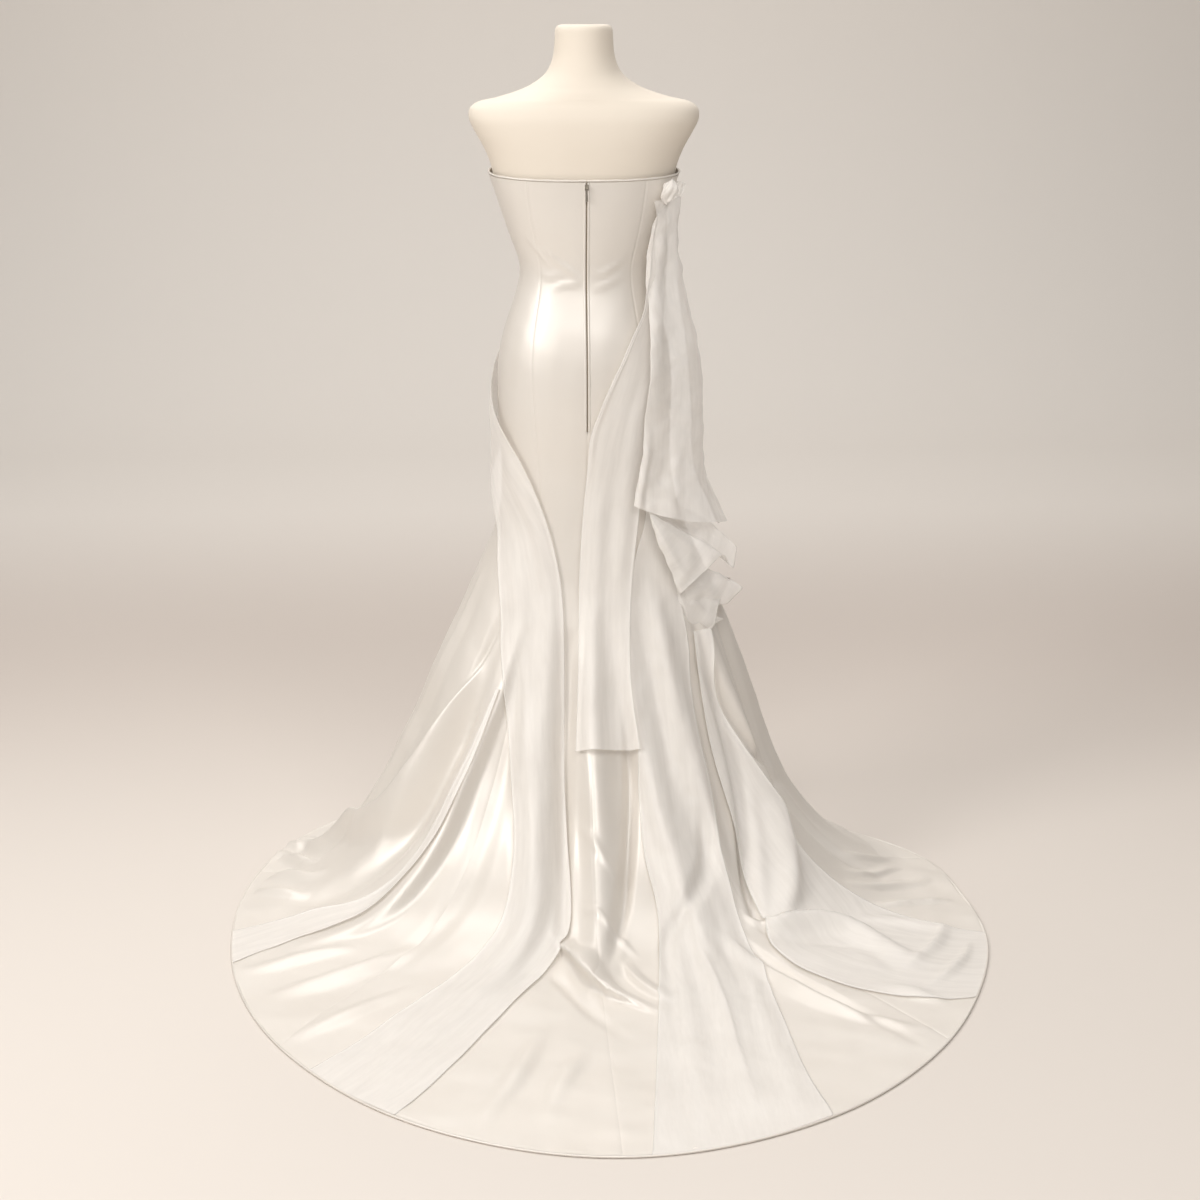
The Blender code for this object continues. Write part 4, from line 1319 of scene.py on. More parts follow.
@dataclass
class Drapery:
    """The organza that lies on the skirt: three strips and two wide panels.

    Attributes:
        drape: The gown's surface.
        finish: Silk organza.
        panels: Each panel and the gown panels it lies on.
    """

    drape: Drape
    finish: bpy.types.Material
    panels: tuple[tuple[OrganzaPanel, tuple[str, ...]], ...] = (
        (LEFT_NARROW, ("satin_side_back_left",)),
        (LEFT_WIDE, ("satin_side_back_left", "satin_centre_back_left")),
        (RIGHT_STRIP, ("satin_side_back_right",)),
        (LONG_PANEL, ("satin_side_back_right", "satin_centre_back_right")),
        (CENTRE_TAIL, ("satin_side_back_right", "satin_centre_back_right")),
    )

    def build(self) -> None:
        """Build and dress each panel."""
        for panel, below in self.panels:
            item = panel.build(self.drape)
            dress(item, self.finish, panel.name)
            declare_cut(item)


@dataclass
class Cascade:
    """The gathered organza at the right hip: a knot, a loop and three tiers.

    Attributes:
        drape: The gown's surface.
        finish: Silk organza.
    """

    drape: Drape
    finish: bpy.types.Material

    def _beside(self, direction: float, level: float, x: Array, y: Array, z: Array) -> Array:
        """Return points set off a place on the gown: along it, away from it and upwards."""
        out = self.drape.shape.normal(direction, level)
        side = unit(np.cross(out, np.array([0.0, 0.0, 1.0])))
        up = np.cross(side, out)
        centre = self.drape.shape.point(direction, level)
        return centre + out * y[..., None] + side * x[..., None] + up * z[..., None]

    def knot(self) -> bpy.types.Object:
        """Build the knot: a wrapped, pleated lump, wider at its foot."""
        half, tall, away = 0.0135, 0.0205, 0.0165
        tilt, turn = np.meshgrid(
            np.linspace(0.02, math.pi - 0.02, 40), np.linspace(0, 2 * math.pi, 73)[:-1],
            indexing="ij",
        )  # fmt: skip
        pleats = 1.0 + 0.13 * np.sin(4.0 * tilt + 2.6 * np.sin(turn) + 0.6)
        pleats += 0.07 * np.sin(6.0 * turn + 3.0 * tilt)
        x = half * (1.0 + 0.22 * np.cos(tilt)) * pleats * np.sin(tilt) * np.cos(turn)
        y = half * pleats * np.sin(tilt) * np.sin(turn) + away
        z = tall * np.cos(tilt) + 0.003 * np.sin(turn)
        points = self._beside(-66.0, 0.45, x, y, z)
        return grid_mesh("silk_knot", points[:, ::-1], closed=True)

    def loop(self) -> bpy.types.Object:
        """Build the small loop that stands behind the knot."""
        half, tall, wide, away = 0.0125, 0.019, 0.008, 0.009
        turn, share = np.meshgrid(
            np.linspace(-0.3, math.pi + 0.5, 40), np.linspace(-1.0, 1.0, 17), indexing="ij"
        )
        x = half * (1.0 + 0.10 * np.sin(6.0 * share)) * np.cos(turn)
        y = wide * share + 0.0012 * np.sin(9.0 * share + turn) + away
        z = tall * np.sin(turn) * (1.0 - 0.12 * share**2) - 0.006
        return grid_mesh("silk_knot_loop", self._beside(-86.0, 0.55, x, y, z))

    def build(self) -> None:
        """Build and dress the cascade."""
        upper = CASCADE_UPPER.build(self.drape)
        middle, lower = CASCADE_MIDDLE.build(), CASCADE_LOWER.build()
        knot, loop = self.knot(), self.loop()
        dress(knot, self.finish, "organza_knot")
        dress(loop, self.finish, "organza_knot_loop")
        tiers = (
            (CASCADE_UPPER, upper, (knot, loop)),
            (CASCADE_MIDDLE, middle, ()),
            (CASCADE_LOWER, lower, ()),
        )
        for tier, item, extras in tiers:
            dress(item, self.finish, tier.name)
            declare_cut(item)


# ---------------------------------------------------------------------------------------------
# The zip
# ---------------------------------------------------------------------------------------------


@dataclass
class Zip:
    """The closed zip down the centre back.

    Attributes:
        drape: The gown's surface.
        satin: Duchess satin, for the folds that meet over the chain.
        coil: Dyed polyester.
        metal: Nickel plate.
        end: Level of the bottom stop.
        pitch: Distance between two turns of the coil.
        slot: Width of the slot.
        fold: Width of the satin fold on each side.
        fold_height: How far the fold's crown stands off the gown.
        coil_height: Depth of one turn of the coil.
        coil_sink: How far the coil lies under the gown's surface.
        columns: Columns across the chain and across each fold.
    """

    drape: Drape
    satin: bpy.types.Material
    coil: bpy.types.Material
    metal: bpy.types.Material
    end: float = 8.8
    pitch: float = 0.0017
    slot: float = 0.0034
    fold: float = 0.0036
    fold_height: float = 0.0013
    coil_height: float = 0.0009
    coil_sink: float = 0.0010
    columns: int = 9

    def line(self, step: float) -> Array:
        """Return points down the centre back at an even step."""
        level = np.linspace(0.02, self.end, 800)
        points = self.drape.read(self.drape.satin, 0.0, level)
        length = run_along(points)
        at = np.arange(0.0, length[-1], step)
        return np.stack([np.interp(at, length, points[:, k]) for k in range(3)], axis=1)

    def chain(self) -> bpy.types.Object:
        """Build the coil: one pair of turns after another, on its narrow tape."""
        line = self.line(self.pitch / 4.0)
        turn = np.arange(len(line)) * 0.5 * math.pi
        half = 0.5 * self.slot - 0.0002
        across = np.linspace(-1.0, 1.0, self.columns)[None, :]
        ridge = 0.5 + 0.5 * np.cos(turn[:, None] + math.pi * (across > 0.0))
        crown = np.sqrt(np.clip(1.0 - across**2, 0.0, 1.0))
        depth = self.coil_height * ridge * crown - 0.0004 * (np.abs(across) < 0.15)
        points = np.repeat(line[:, None], self.columns, axis=1)
        points[..., 0] = -across * half
        points[..., 1] += depth - self.coil_sink
        return grid_mesh("zip_coil_chain", points[:, ::-1])

    def cover(self, side: float, name: str) -> bpy.types.Object:
        """Build the soft satin fold on one side of the chain."""
        line = self.line(0.004)
        turn = np.linspace(0.0, 1.0, self.columns)[None, :]
        reach = 0.5 * self.slot - 0.0006 + (self.fold + 0.0006) * turn
        rise = self.fold_height * np.sin(math.pi * turn) ** 0.6 - 0.0006 * (turn < 0.05)
        points = np.repeat(line[:, None], self.columns, axis=1)
        soft = 0.00015 * np.sin(np.arange(len(line)) * 0.37)[:, None]
        points[..., 0] = side * reach
        points[..., 1] += rise + soft
        return grid_mesh(name, points if side > 0 else points[:, ::-1])

    def build(self) -> None:
        """Build the chain and folds, and finish the slider and its tab."""
        dress(self.chain(), self.coil, "zip_chain")
        for side, name in ((1.0, "left"), (-1.0, "right")):
            item = self.cover(side, f"placket_{name}")
            dress(item, self.satin, f"zip_fold_{name}")
            declare_cut(item)
        for node in ("zip_slider", "pull_tab"):
            finish_node(node, self.metal)


def finish_node(node: str, finish: bpy.types.Material) -> None:
    """Give a CAD node that stays its finished material."""
    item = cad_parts[node]
    for slot in item.material_slots:
        slot.material = finish
    LOG.info("%s: kept, %s", node, finish.name)


# ---------------------------------------------------------------------------------------------
# The dress form
# ---------------------------------------------------------------------------------------------


@dataclass
class DressForm:
    """The limbless form on its pole.

    Attributes:
        cover: Cotton jersey.
        metal: Enamelled steel.
        rings: Height, half width, depth to the back and to the front, roundness.
        sides: Columns round the torso.
    """

    cover: bpy.types.Material
    metal: bpy.types.Material
    rings: tuple[Row, ...] = (
        (0.860, 0.142, 0.104, 0.098, 2.15),
        (0.915, 0.150, 0.111, 0.102, 2.15),
        (0.980, 0.148, 0.107, 0.102, 2.10),
        (1.035, 0.134, 0.094, 0.096, 2.05),
        (1.085, 0.115, 0.079, 0.088, 2.00),
        (1.130, 0.104, 0.071, 0.085, 2.00),
        (1.170, 0.117, 0.077, 0.101, 2.05),
        (1.212, 0.133, 0.085, 0.119, 2.10),
        (1.250, 0.146, 0.091, 0.121, 2.15),
        (1.288, 0.158, 0.093, 0.109, 2.20),
        (1.317, 0.165, 0.095, 0.100, 2.25),
        (1.345, 0.177, 0.097, 0.094, 2.30),
        (1.368, 0.190, 0.097, 0.090, 2.35),
        (1.392, 0.201, 0.094, 0.084, 2.40),
        (1.408, 0.200, 0.088, 0.077, 2.35),
        (1.418, 0.190, 0.083, 0.071, 2.25),
        (1.428, 0.152, 0.079, 0.065, 2.10),
        (1.437, 0.122, 0.075, 0.060, 2.00),
        (1.448, 0.095, 0.069, 0.056, 2.00),
        (1.470, 0.066, 0.060, 0.051, 2.00),
        (1.495, 0.0545, 0.054, 0.048, 2.00),
        (1.529, 0.0505, 0.051, 0.047, 2.00),
        (1.543, 0.0495, 0.050, 0.046, 2.00),
        (1.549, 0.0460, 0.0465, 0.043, 2.00),
        (1.551, 0.0380, 0.0385, 0.036, 2.00),
    )
    sides: int = 120

    def torso(self) -> bpy.types.Object:
        """Build the torso with its rounded shoulders and neck cap."""
        table = np.array(self.rings, float)
        apart = np.hypot(np.diff(table[:, 0]), np.diff(table[:, 1]))
        places = np.concatenate([[0.0], np.cumsum(apart)])
        rows = through(places, table, np.linspace(0.0, places[-1], 190))
        angle = np.radians(np.linspace(0.0, 360.0, self.sides + 1)[:-1])[None, :]
        height, half, back, front, power = (rows[:, k][:, None] for k in range(5))
        radius = rounded_radius(angle, half, half, back, front, power)
        z = np.broadcast_to(height, radius.shape)
        points = np.stack([radius * np.sin(angle), radius * np.cos(angle), z], axis=-1)
        top = np.array([0.0, 0.003, points[-1, 0, 2]])
        caps = [points[-1] * share + (1 - share) * top for share in (0.7, 0.35, 0.02)]
        points = np.concatenate([points, np.stack(caps)])[::-1]
        return grid_mesh("form_cover_torso", points, closed=True)

    def build(self) -> None:
        """Build the torso, and finish the pole, collar and base."""
        dress(self.torso(), self.cover, "form_torso")
        for node in ("form_pole", "form_collar", "form_base"):
            finish_node(node, self.metal)


# ---------------------------------------------------------------------------------------------
# The studio
# ---------------------------------------------------------------------------------------------


@dataclass
class Studio:
    """A pale floor that curves up into a wall, with a band of painted shade across it, soft lights
    and the camera.

    Attributes:
        tones_and_painted_shade: Share of the way from the wall to the front, and the colour there
            in
            sRGB hex: pale wall and floor tones, and a darker band of painted shade at 0.60.
        paint_range: Places along Y where those shares are 0 and 1.
        floor_end: How far behind the form the floor starts to curve up.
        bend: Radius of the curve.
        wall_height: Height of the wall.
        boxes: Name, place, aim, width and height, power in W and colour of each soft light.
        sky_range: Strength of the surroundings near the ground and overhead.
        camera_azimuth: Degrees round from the centre back towards the wearer's left.
        camera_distance: Distance along the floor from the pole.
        camera_aside: How far the camera stands to its right.
        camera_height: Height of the lens.
        camera_pitch: Degrees that it looks down.
        lens: Focal length in mm on a 36 mm sensor.
    """

    # Pale wall and floor tones. The darker #C1B6AE at 0.60 is painted shade: a band across the
    # floor that stands in for the shade where the floor curves up into the wall.
    tones_and_painted_shade: tuple[tuple[float, str], ...] = (
        (0.0, "#EFEAE4"), (0.40, "#EFEAE4"), (0.60, "#C1B6AE"), (0.80, "#DAD3CC"),
    )  # fmt: skip
    paint_range: Row = (-6.0, 1.0)
    floor_end: float = 4.2
    bend: float = 1.6
    wall_height: float = 6.5
    boxes: tuple[tuple[str, Row, Row, Row, float, str], ...] = (
        ("key", (3.0, 2.2, 2.8), (0.0, 0.3, 0.3), (1.5, 1.5), 80.0, "#FFFCF8"),
        ("front", (-0.3, 3.9, 3.7), (-0.1, 0.2, 0.6), (3.8, 1.7), 114.0, "#FFFCF9"),
        ("wall_wash", (0.0, -3.4, 4.6), (0.0, -5.9, 1.6), (4.0, 1.4), 58.0, "#FFFCF9"),
        ("overhead", (0.3, -1.0, 4.0), (0.0, 0.6, 0.0), (3.4, 2.8), 80.0, "#FFFCF9"),
    )
    sky_range: Row = (0.13, 0.36)
    camera_azimuth: float = 3.0
    camera_distance: float = 4.2
    camera_aside: float = 0.028
    camera_height: float = 1.6
    camera_pitch: float = 14.4
    lens: float = 70.68

    def backdrop(self) -> None:
        """Build the floor and wall as one smooth sheet, with tones from front to back and a band of
        painted shade across the floor between the form and the wall.
        """
        profile = [(14.0, 0.0), (4.0, 0.0), (0.0, 0.0), (-self.floor_end, 0.0)]
        for turn in np.linspace(0.0, 0.5 * math.pi, 24)[1:]:
            away = self.floor_end + self.bend * math.sin(turn)
            profile.append((-away, self.bend * (1.0 - math.cos(turn))))
        profile.append((-self.floor_end - self.bend, self.wall_height))
        sheet = np.array([[(x, y, z) for x in (-16.0, -4.0, 4.0, 16.0)] for y, z in profile])
        item = grid_mesh("backdrop", sheet[:, ::-1])
        finish = empty_finish("backdrop_matt_with_painted_shade")
        tree = finish.node_tree
        place = add_node(tree, "ShaderNodeTexCoord").outputs["Object"]
        split = add_node(tree, "ShaderNodeSeparateXYZ", None, {"Vector": place})
        depth = spread(tree, split.outputs["Y"], 0.0, 1.0, *self.paint_range)
        # This ramp paints the pale tones and the band of painted shade.
        tones_and_painted_shade = add_node(tree, "ShaderNodeValToRGB", None, {"Fac": depth})
        ramp = tones_and_painted_shade.color_ramp
        ramp.interpolation = "B_SPLINE"
        for spot, code in self.tones_and_painted_shade:
            stop = ramp.elements[0] if spot == 0.0 else ramp.elements.new(spot)
            stop.position, stop.color = spot, linear(code)
        ramp.elements[-1].color = linear(self.tones_and_painted_shade[-1][1])
        close(finish, {
            "Base Color": tones_and_painted_shade.outputs["Color"], "Roughness": 0.9, "Specular IOR Level": 0.1,
        })  # fmt: skip
        item.data.materials.append(finish)

    @staticmethod
    def softbox(name: str, place: Row, aim: Row, size: Row, power: float, colour: str) -> None:
        """Hang one soft rectangular light and aim it."""
        light = bpy.data.lights.new(name, "AREA")
        light.shape = "RECTANGLE"
        light.size, light.size_y = size
        light.energy = power
        light.color = linear(colour)[:3]
        item = bpy.data.objects.new(name, light)
        item.location = place
        item.rotation_euler = (Vector(aim) - Vector(place)).to_track_quat("-Z", "Y").to_euler()
        bpy.context.collection.objects.link(item)

    def lights(self) -> None:
        """Hang the soft lights in the pale surroundings."""
        bpy.context.scene.view_settings.view_transform = "Standard"
        for box in self.boxes:
            self.softbox(*box)
        world = bpy.data.worlds.new("surroundings")
        world.use_nodes = True
        tree = world.node_tree
        place = add_node(tree, "ShaderNodeTexCoord").outputs["Generated"]
        split = add_node(tree, "ShaderNodeSeparateXYZ", None, {"Vector": place})
        strength = spread(tree, split.outputs["Z"], *self.sky_range, -0.1, 0.8)
        sky = tree.nodes["Background"]
        sky.inputs["Color"].default_value = linear("#EEEAE6")
        tree.links.new(strength, sky.inputs["Strength"])
        bpy.context.scene.world = world

    def camera(self) -> None:
        """Place the camera."""
        turn = math.radians(self.camera_azimuth)
        back = Vector((math.sin(turn), math.cos(turn), 0.0))
        aside = Vector((-math.cos(turn), math.sin(turn), 0.0))
        view = bpy.data.cameras.new("camera")
        view.lens = self.lens
        view.sensor_width = 36.0
        item = bpy.data.objects.new("camera", view)
        place = back * self.camera_distance + aside * self.camera_aside
        item.location = place + Vector((0.0, 0.0, self.camera_height))
        pitch = math.radians(self.camera_pitch)
        ahead = -back * math.cos(pitch) - Vector((0.0, 0.0, math.sin(pitch)))
        item.rotation_euler = ahead.to_track_quat("-Z", "Y").to_euler()
        bpy.context.collection.objects.link(item)
        bpy.context.scene.camera = item

    def build(self) -> None:
        """Build the studio."""
        self.backdrop()
        self.lights()
        self.camera()


# ---------------------------------------------------------------------------------------------
# The folds of the skirt
# ---------------------------------------------------------------------------------------------

BACK_FOLDS: tuple[Fold, ...] = (
    # Left flank, from its outline inwards.
    Fold(
        ((79, 12.0, 0, 18), (82, 13.8, 9, 24), (86.5, 15.8, 11, 27), (92, 17.8, 7, 27),
         (96, 19.4, 0, 24)),
        skew=-0.3, lean=0.1,
    ),
    Fold(
        ((90, 11, 0, 50), (91, 14, 14, 52), (94, 17, 16, 54), (99, 20.3, 5, 50),
         (100, 21.4, 0, 44)),
    ),
    Fold(
        ((52, 13.2, 0, 20), (56, 14.0, 10, 28), (62.7, 14.9, 20, 36), (68.3, 16.25, 29, 44),
         (74, 17.1, 31, 46), (84, 17.8, 27, 42), (92, 18.2, 20, 38), (97, 19.6, 12, 34),
         (100, 21.6, 3, 30), (101, 22.6, 0, 26)),
        skew=-0.5, lean=0.35,
    ),
    Fold(
        ((53, 12.8, 0, 22), (56.0, 14.4, -14, 32), (58, 15.8, -25, 42), (61, 17.2, -28, 50),
         (65, 18.6, -19, 54), (70, 20.4, -7, 50), (73, 21.6, 0, 44)),
    ),
    Fold(
        ((42.5, 13.1, 0, 22), (44.5, 14.4, 14, 28), (46, 15.8, 25, 32), (46.5, 17.4, 29, 35),
         (47.5, 18.6, 25, 38), (49.3, 19.7, 16, 38), (52.0, 21.0, 6, 36), (54, 22.4, 0, 32)),
        skew=0.3, lean=0.15,
    ),
    Fold(
        ((38.5, 13.1, 0, 24), (37.0, 14.8, -5, 30), (35.0, 16.6, -8, 36), (34.5, 18.4, -7, 40),
         (36, 20.2, -3, 38), (37, 21.4, 0, 34)),
    ),
    Fold(
        ((28, 12.6, 0, 40), (26, 14.6, 12, 44), (20, 16.6, 20, 46), (15, 18.6, 20, 42),
         (15.5, 20.0, 12, 38), (19, 21.8, 3, 36), (22, 23.4, 0, 30)),
        skew=0.25, lean=0.1,
    ),
    # Centre back, under the tail.
    Fold(
        ((0, 12.6, 0, 36), (-0.5, 14.8, 20, 44), (-1.6, 17.0, 33, 48), (-1, 18.8, 31, 48),
         (0.4, 20.1, 16, 46), (1, 21.2, 0, 40)),
        lean=0.1, skew=-0.15,
    ),
    Fold(
        ((13.5, 13.2, 0, 22), (12, 15.4, -14, 24), (9.6, 17.2, -19, 22), (8, 18.8, -15, 20),
         (7.6, 20, -4, 18), (8, 20.6, 0, 16)),
    ),
    Fold(
        ((-19, 14.4, 0, 14), (-16.3, 15.9, -14, 18), (-11.5, 17.3, -20, 20), (-7, 18.5, -17, 19),
         (-3, 19.8, -6, 16), (-1, 20.4, 0, 14)),
    ),
    Fold(
        ((10.5, 19.1, 0, 12), (7.2, 19.55, 14, 19), (4.2, 20.05, 27, 25), (1.8, 20.55, 31, 26),
         (-1.2, 20.95, 24, 24), (-4.4, 21.2, 11, 19), (-7, 21.5, 0, 16)),
        skew=-0.55, lean=0.55,
    ),
    Fold(
        ((9.5, 20.2, 0, 14), (6.4, 20.6, -4, 18), (2.6, 21.2, -5, 20), (-1, 21.8, -2, 18),
         (-3, 22.2, 0, 14)),
    ),
    Fold(
        ((-4.5, 20.0, 0, 14), (-5.6, 20.5, 10, 18), (-8.2, 21.0, 9, 20), (-11.5, 21.4, 0, 16)),
        skew=-0.4, lean=0.4,
    ),
    Fold(((4, 18.6, 0, 10), (0, 18.9, 5, 12), (-5, 19.5, 4, 12), (-8, 20, 0, 10))),
    Fold(((5, 16.8, 0, 9), (0, 17.2, 3.5, 12), (-6, 17.9, 3, 12), (-9, 18.3, 0, 10))),
    # Under the long panel.
    Fold(
        ((-24, 12.8, 0, 34), (-23.5, 14.8, 12, 40), (-24, 17.0, 21, 42), (-22.5, 19.0, 19, 38),
         (-19, 20.8, 10, 34), (-15, 22.6, 2, 30), (-13.5, 23.6, 0, 26)),
        skew=-0.2, lean=0.1,
    ),
    Fold(
        ((-38.7, 16.4, 0, 14), (-35, 17.4, -13, 18), (-31.3, 17.9, -17, 20), (-22.7, 18.7, -16, 20),
         (-16.3, 19.3, -13, 18), (-12, 20.4, -8, 17), (-8, 22.3, 0, 14)),
    ),
    Fold(
        ((-19.7, 19.1, 0, 14), (-18.8, 20.2, 9, 18), (-16.6, 21.3, 11, 20), (-13.7, 22.6, 7, 20),
         (-11.3, 24.3, 0, 18)),
        skew=0.45, lean=0.3,
    ),
    Fold(
        ((-43, 12.3, 0, 34), (-42, 14.8, 17, 40), (-39, 16.8, 17, 34), (-36.5, 18.2, 5, 28),
         (-35, 18.9, 0, 24)),
    ),
    # Right flank.
    Fold(
        ((-59.5, 13.8, 0, 16), (-58.3, 15.1, -17, 20), (-55.5, 16.2, -26, 23),
         (-50.5, 17.1, -29, 25), (-42.5, 18.2, -25, 22), (-38, 19.0, -17, 18),
         (-36, 19.6, -4, 14), (-35.5, 20, 0, 12)),
    ),
    Fold(
        ((-66, 12.8, 0, 34), (-66.5, 15.0, 20, 38), (-64, 16.8, 26, 40), (-57, 18.0, 24, 38),
         (-49, 18.9, 18, 34), (-43, 19.4, 8, 28), (-40, 19.7, 0, 22)),
        skew=0.2, lean=0.15,
    ),
    Fold(
        ((-35, 19.1, 0, 10), (-37.6, 19.5, 15, 16), (-41.8, 19.7, 25, 20), (-46, 19.95, 28, 23),
         (-49.4, 20.5, 25, 25), (-50, 21.3, 17, 26), (-48.6, 22.2, 10, 25), (-48, 23.2, 0, 22)),
        skew=0.5, lean=0.5,
    ),
    Fold(
        ((-37.5, 20.4, 0, 12), (-42, 20.7, -6, 16), (-45, 21.4, -6, 18), (-43.5, 22.6, -2, 18),
         (-43, 23.4, 0, 14)),
    ),
    Fold(((-29.3, 19.6, 0, 14), (-30, 21.0, -8, 16), (-30.7, 22.5, -7, 17), (-31.2, 24.7, 0, 14))),
    Fold(
        ((-25.5, 19.4, 0, 16), (-27.0, 20.7, 11, 21), (-28.8, 22.2, 11, 24), (-32.5, 23.7, 4, 22),
         (-35, 24.6, 0, 18)),
        skew=0.35, lean=0.25,
    ),
    Fold(
        ((-62, 13.0, 0, 12), (-61.5, 14.1, -10, 15), (-62.6, 15.2, -15, 18), (-66, 16.0, -16, 20),
         (-74, 16.6, -12, 22), (-84, 16.9, -3, 22), (-88, 17, 0, 20)),
    ),
    Fold(
        ((-80, 12, 0, 28), (-80, 14.5, -18, 30), (-79.5, 17, -20, 32), (-78, 19.5, -7, 32),
         (-77, 21, 0, 28)),
    ),
    Fold(((-91, 11.5, 0, 48), (-91.5, 15, 15, 48), (-92, 18.5, 11, 50), (-92, 21, 0, 44))),
    Fold(
        ((-66, 19.4, 0, 14), (-70.5, 20.2, 8, 18), (-74.5, 21.3, 8, 20), (-78, 22.8, 3, 20),
         (-80, 23.6, 0, 16)),
        skew=-0.3, lean=0.2,
    ),
    Fold(
        ((-71, 19.2, 0, 12), (-76, 19.9, 7, 16), (-80.5, 20.8, 6, 18), (-84, 22, 0, 16)),
        skew=-0.3, lean=0.2,
    ),
    Fold(((-80, 19.0, 0, 14), (-84.5, 19.9, 8, 17), (-88, 21.2, 6, 18), (-90, 22.8, 0, 16))),
    Fold(((-55, 20.4, 0, 16), (-58, 21.4, 8, 22), (-60, 22.8, 7, 22), (-61, 24, 0, 18))),
    Fold(
        ((-63, 20.6, 0, 14), (-67, 21.6, 8, 17), (-70, 22.8, 8, 17), (-72, 24.2, 0, 15)),
        skew=-0.3, lean=0.2,
    ),
    Fold(
        ((-44, 22.6, 0, 12), (-50, 22.9, 8, 14), (-56, 23.1, 9, 15), (-62, 23.2, 0, 12)),
        skew=0.3, lean=0.2,
    ),
    Fold(((-41, 23.4, 0, 12), (-47, 23.8, 7, 14), (-53, 24.1, 7, 14), (-58, 24.2, 0, 12))),
)

# Levels, heights and half widths of each kind of fold round the front, out of sight behind.
FRONT_KINDS: dict[str, tuple[Row, Row, Row]] = {
    "side": ((12.5, 15.5, 18, 20.5), (0, 22, 18, 0), (52, 54, 56, 50)),
    "crest": ((13, 16, 18.2, 20.5), (0, 20, 16, 0), (52, 54, 56, 50)),
    "trough": ((13.5, 16, 18.4, 20.5), (0, -10, -8, 0), (24, 30, 34, 28)),
    "soft": ((13.5, 16, 18.4, 20.5), (0, -9, -8, 0), (26, 30, 34, 28)),
    "middle": ((14, 16, 18.4, 20.5), (0, -8, -7, 0), (24, 30, 34, 28)),
}
# Kind, skew and directions of each of them.
FRONT_FOLDS: tuple[tuple[str, float, Row], ...] = (
    ("side", 0.2, (112, 114, 116, 117)),
    ("trough", 0.0, (126, 127, 128, 129)),
    ("crest", 0.0, (138, 140, 141, 142)),
    ("soft", 0.0, (152, 152, 152, 153)),
    ("crest", -0.2, (165, 165, 164, 164)),
    ("middle", 0.0, (-180, -179, -180, -180)),
    ("crest", 0.2, (-168, -168, -167, -167)),
    ("soft", 0.0, (-154, -155, -155, -155)),
    ("crest", 0.0, (-141, -142, -142, -143)),
    ("trough", 0.0, (-128, -129, -130, -131)),
    ("side", -0.2, (-115, -116, -117, -117)),
)


def front_folds() -> tuple[Fold, ...]:
    """Return the folds round the front; the skewed ones lean by half as much."""
    return tuple(
        Fold(tuple(zip(directions, *FRONT_KINDS[kind])), skew=skew, lean=abs(skew) / 2.0)
        for kind, skew, directions in FRONT_FOLDS
    )


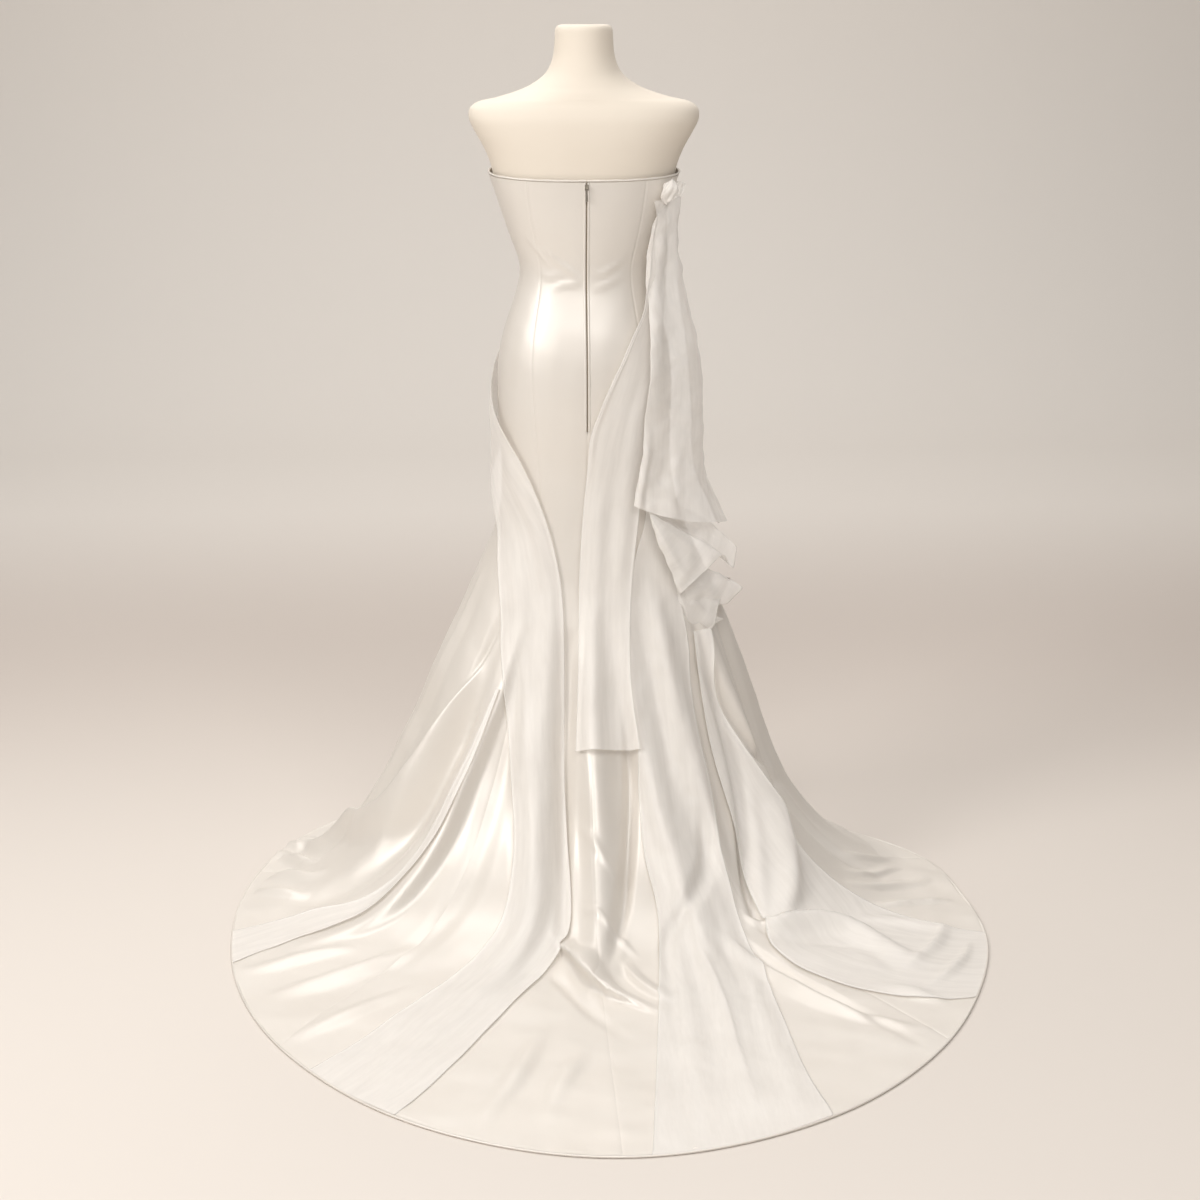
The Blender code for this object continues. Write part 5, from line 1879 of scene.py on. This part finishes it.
TRAIN_FOLDS: tuple[Fold, ...] = (
    # Train: shallow folds on the floor.
    Fold(
        ((36, 19.9, 0, 24), (39, 21.2, 11.9, 32), (42, 22.8, 10.2, 36), (44, 24.5, 0, 30)),
        skew=-0.25, lean=0.15,
    ),
    Fold(((46, 20.8, 0, 20), (49, 22, 8.5, 28), (50.5, 23.4, 6.8, 28), (51.5, 24.6, 0, 22))),
    Fold(((28, 21.2, 0, 20), (31, 22.4, 6.8, 26), (33, 23.6, 6.8, 26), (34, 24.8, 0, 20))),
    Fold(((8, 21.8, 0, 22), (9, 22.8, 8.5, 28), (10.5, 24, 5.1, 26), (11, 24.8, 0, 20))),
    Fold(((2, 22.2, 0, 20), (4.5, 22.9, 6.8, 26), (6, 24.2, 0, 20))),
    Fold(((-37, 22.2, 0, 18), (-39.5, 23.2, 8.5, 24), (-40.5, 24.4, 0, 20)), skew=0.3, lean=0.2),
    Fold(
        ((78, 19.4, 0, 20), (82, 20.6, 15.3, 25), (85, 22, 13.6, 26), (86.5, 23.6, 0, 20)),
        skew=-0.3, lean=0.2,
    ),
    Fold(((72, 20.4, 0, 18), (76, 21.6, 10.2, 24), (79, 23, 8.5, 24), (80, 24.2, 0, 18))),
    Fold(
        ((88, 19.6, 0, 18), (92, 20.8, 17, 22), (95, 22.2, 13.6, 22), (96.5, 23.8, 0, 18)),
        skew=-0.3, lean=0.2,
    ),
    Fold(((98, 19.4, 0, 18), (101, 20.8, 13.6, 22), (103, 22.6, 10.2, 22), (104, 24.2, 0, 16))),
    Fold(((99, 22.0, 0, 13), (101.5, 23.0, 9, 16), (103, 24.2, 9, 16), (103.6, 25, 6, 15))),
    Fold(((96, 22.4, 0, 12), (97.6, 23.4, 7, 14), (98.6, 25, 5, 14))),
    Fold(((104, 21.4, 0, 12), (106.5, 22.6, 7, 15), (107.5, 24, 7, 15), (108, 25, 4, 14))),
    # Waist creases on both sides of the zip, and soft drag lines at the sides of the waist.
    Fold(
        ((50, 2.9, 0, 4), (38, 3.35, 2.6, 7), (22, 3.8, 3.2, 8), (6, 4.15, 0.6, 6),
         (3, 4.2, 0, 5)),
        skew=0.3,
    ),
    Fold(((42, 4.6, 0, 5), (28, 4.45, 2.2, 8), (10, 4.35, 1.7, 7), (3, 4.3, 0, 5))),
    Fold(((60, 3.9, 0, 4), (46, 4.1, 2.0, 7), (30, 4.0, 1.4, 7), (20, 3.95, 0, 5))),
    Fold(((-3, 3.8, 0, 5), (-16, 4.0, 2.2, 8), (-34, 3.7, 2.8, 8), (-48, 3.4, 0, 5))),
    Fold(((-5, 4.6, 0, 5), (-22, 4.45, 1.7, 8), (-40, 4.2, 1.4, 7), (-50, 4.1, 0, 5))),
    Fold(((64, 2.4, 0, 4), (54, 3.0, 2.2, 7), (46, 3.5, 1.7, 7), (40, 3.7, 0, 5))),
)


def main() -> None:
    """Build the dress, its form and the studio."""
    logging.basicConfig(level=logging.INFO, format="%(name)s: %(message)s")
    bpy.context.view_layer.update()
    finishes = Finishes()
    DressForm(finishes.jersey, finishes.enamel).build()
    drape = Drape(GownShape(), BACK_FOLDS + front_folds() + TRAIN_FOLDS)
    SatinGown(drape, finishes.satin).build()
    Zip(drape, finishes.satin, finishes.coil, finishes.nickel).build()
    Drapery(drape, finishes.organza).build()
    Cascade(drape, finishes.organza).build()
    Studio().build()


if __name__ == "__main__":
    main()
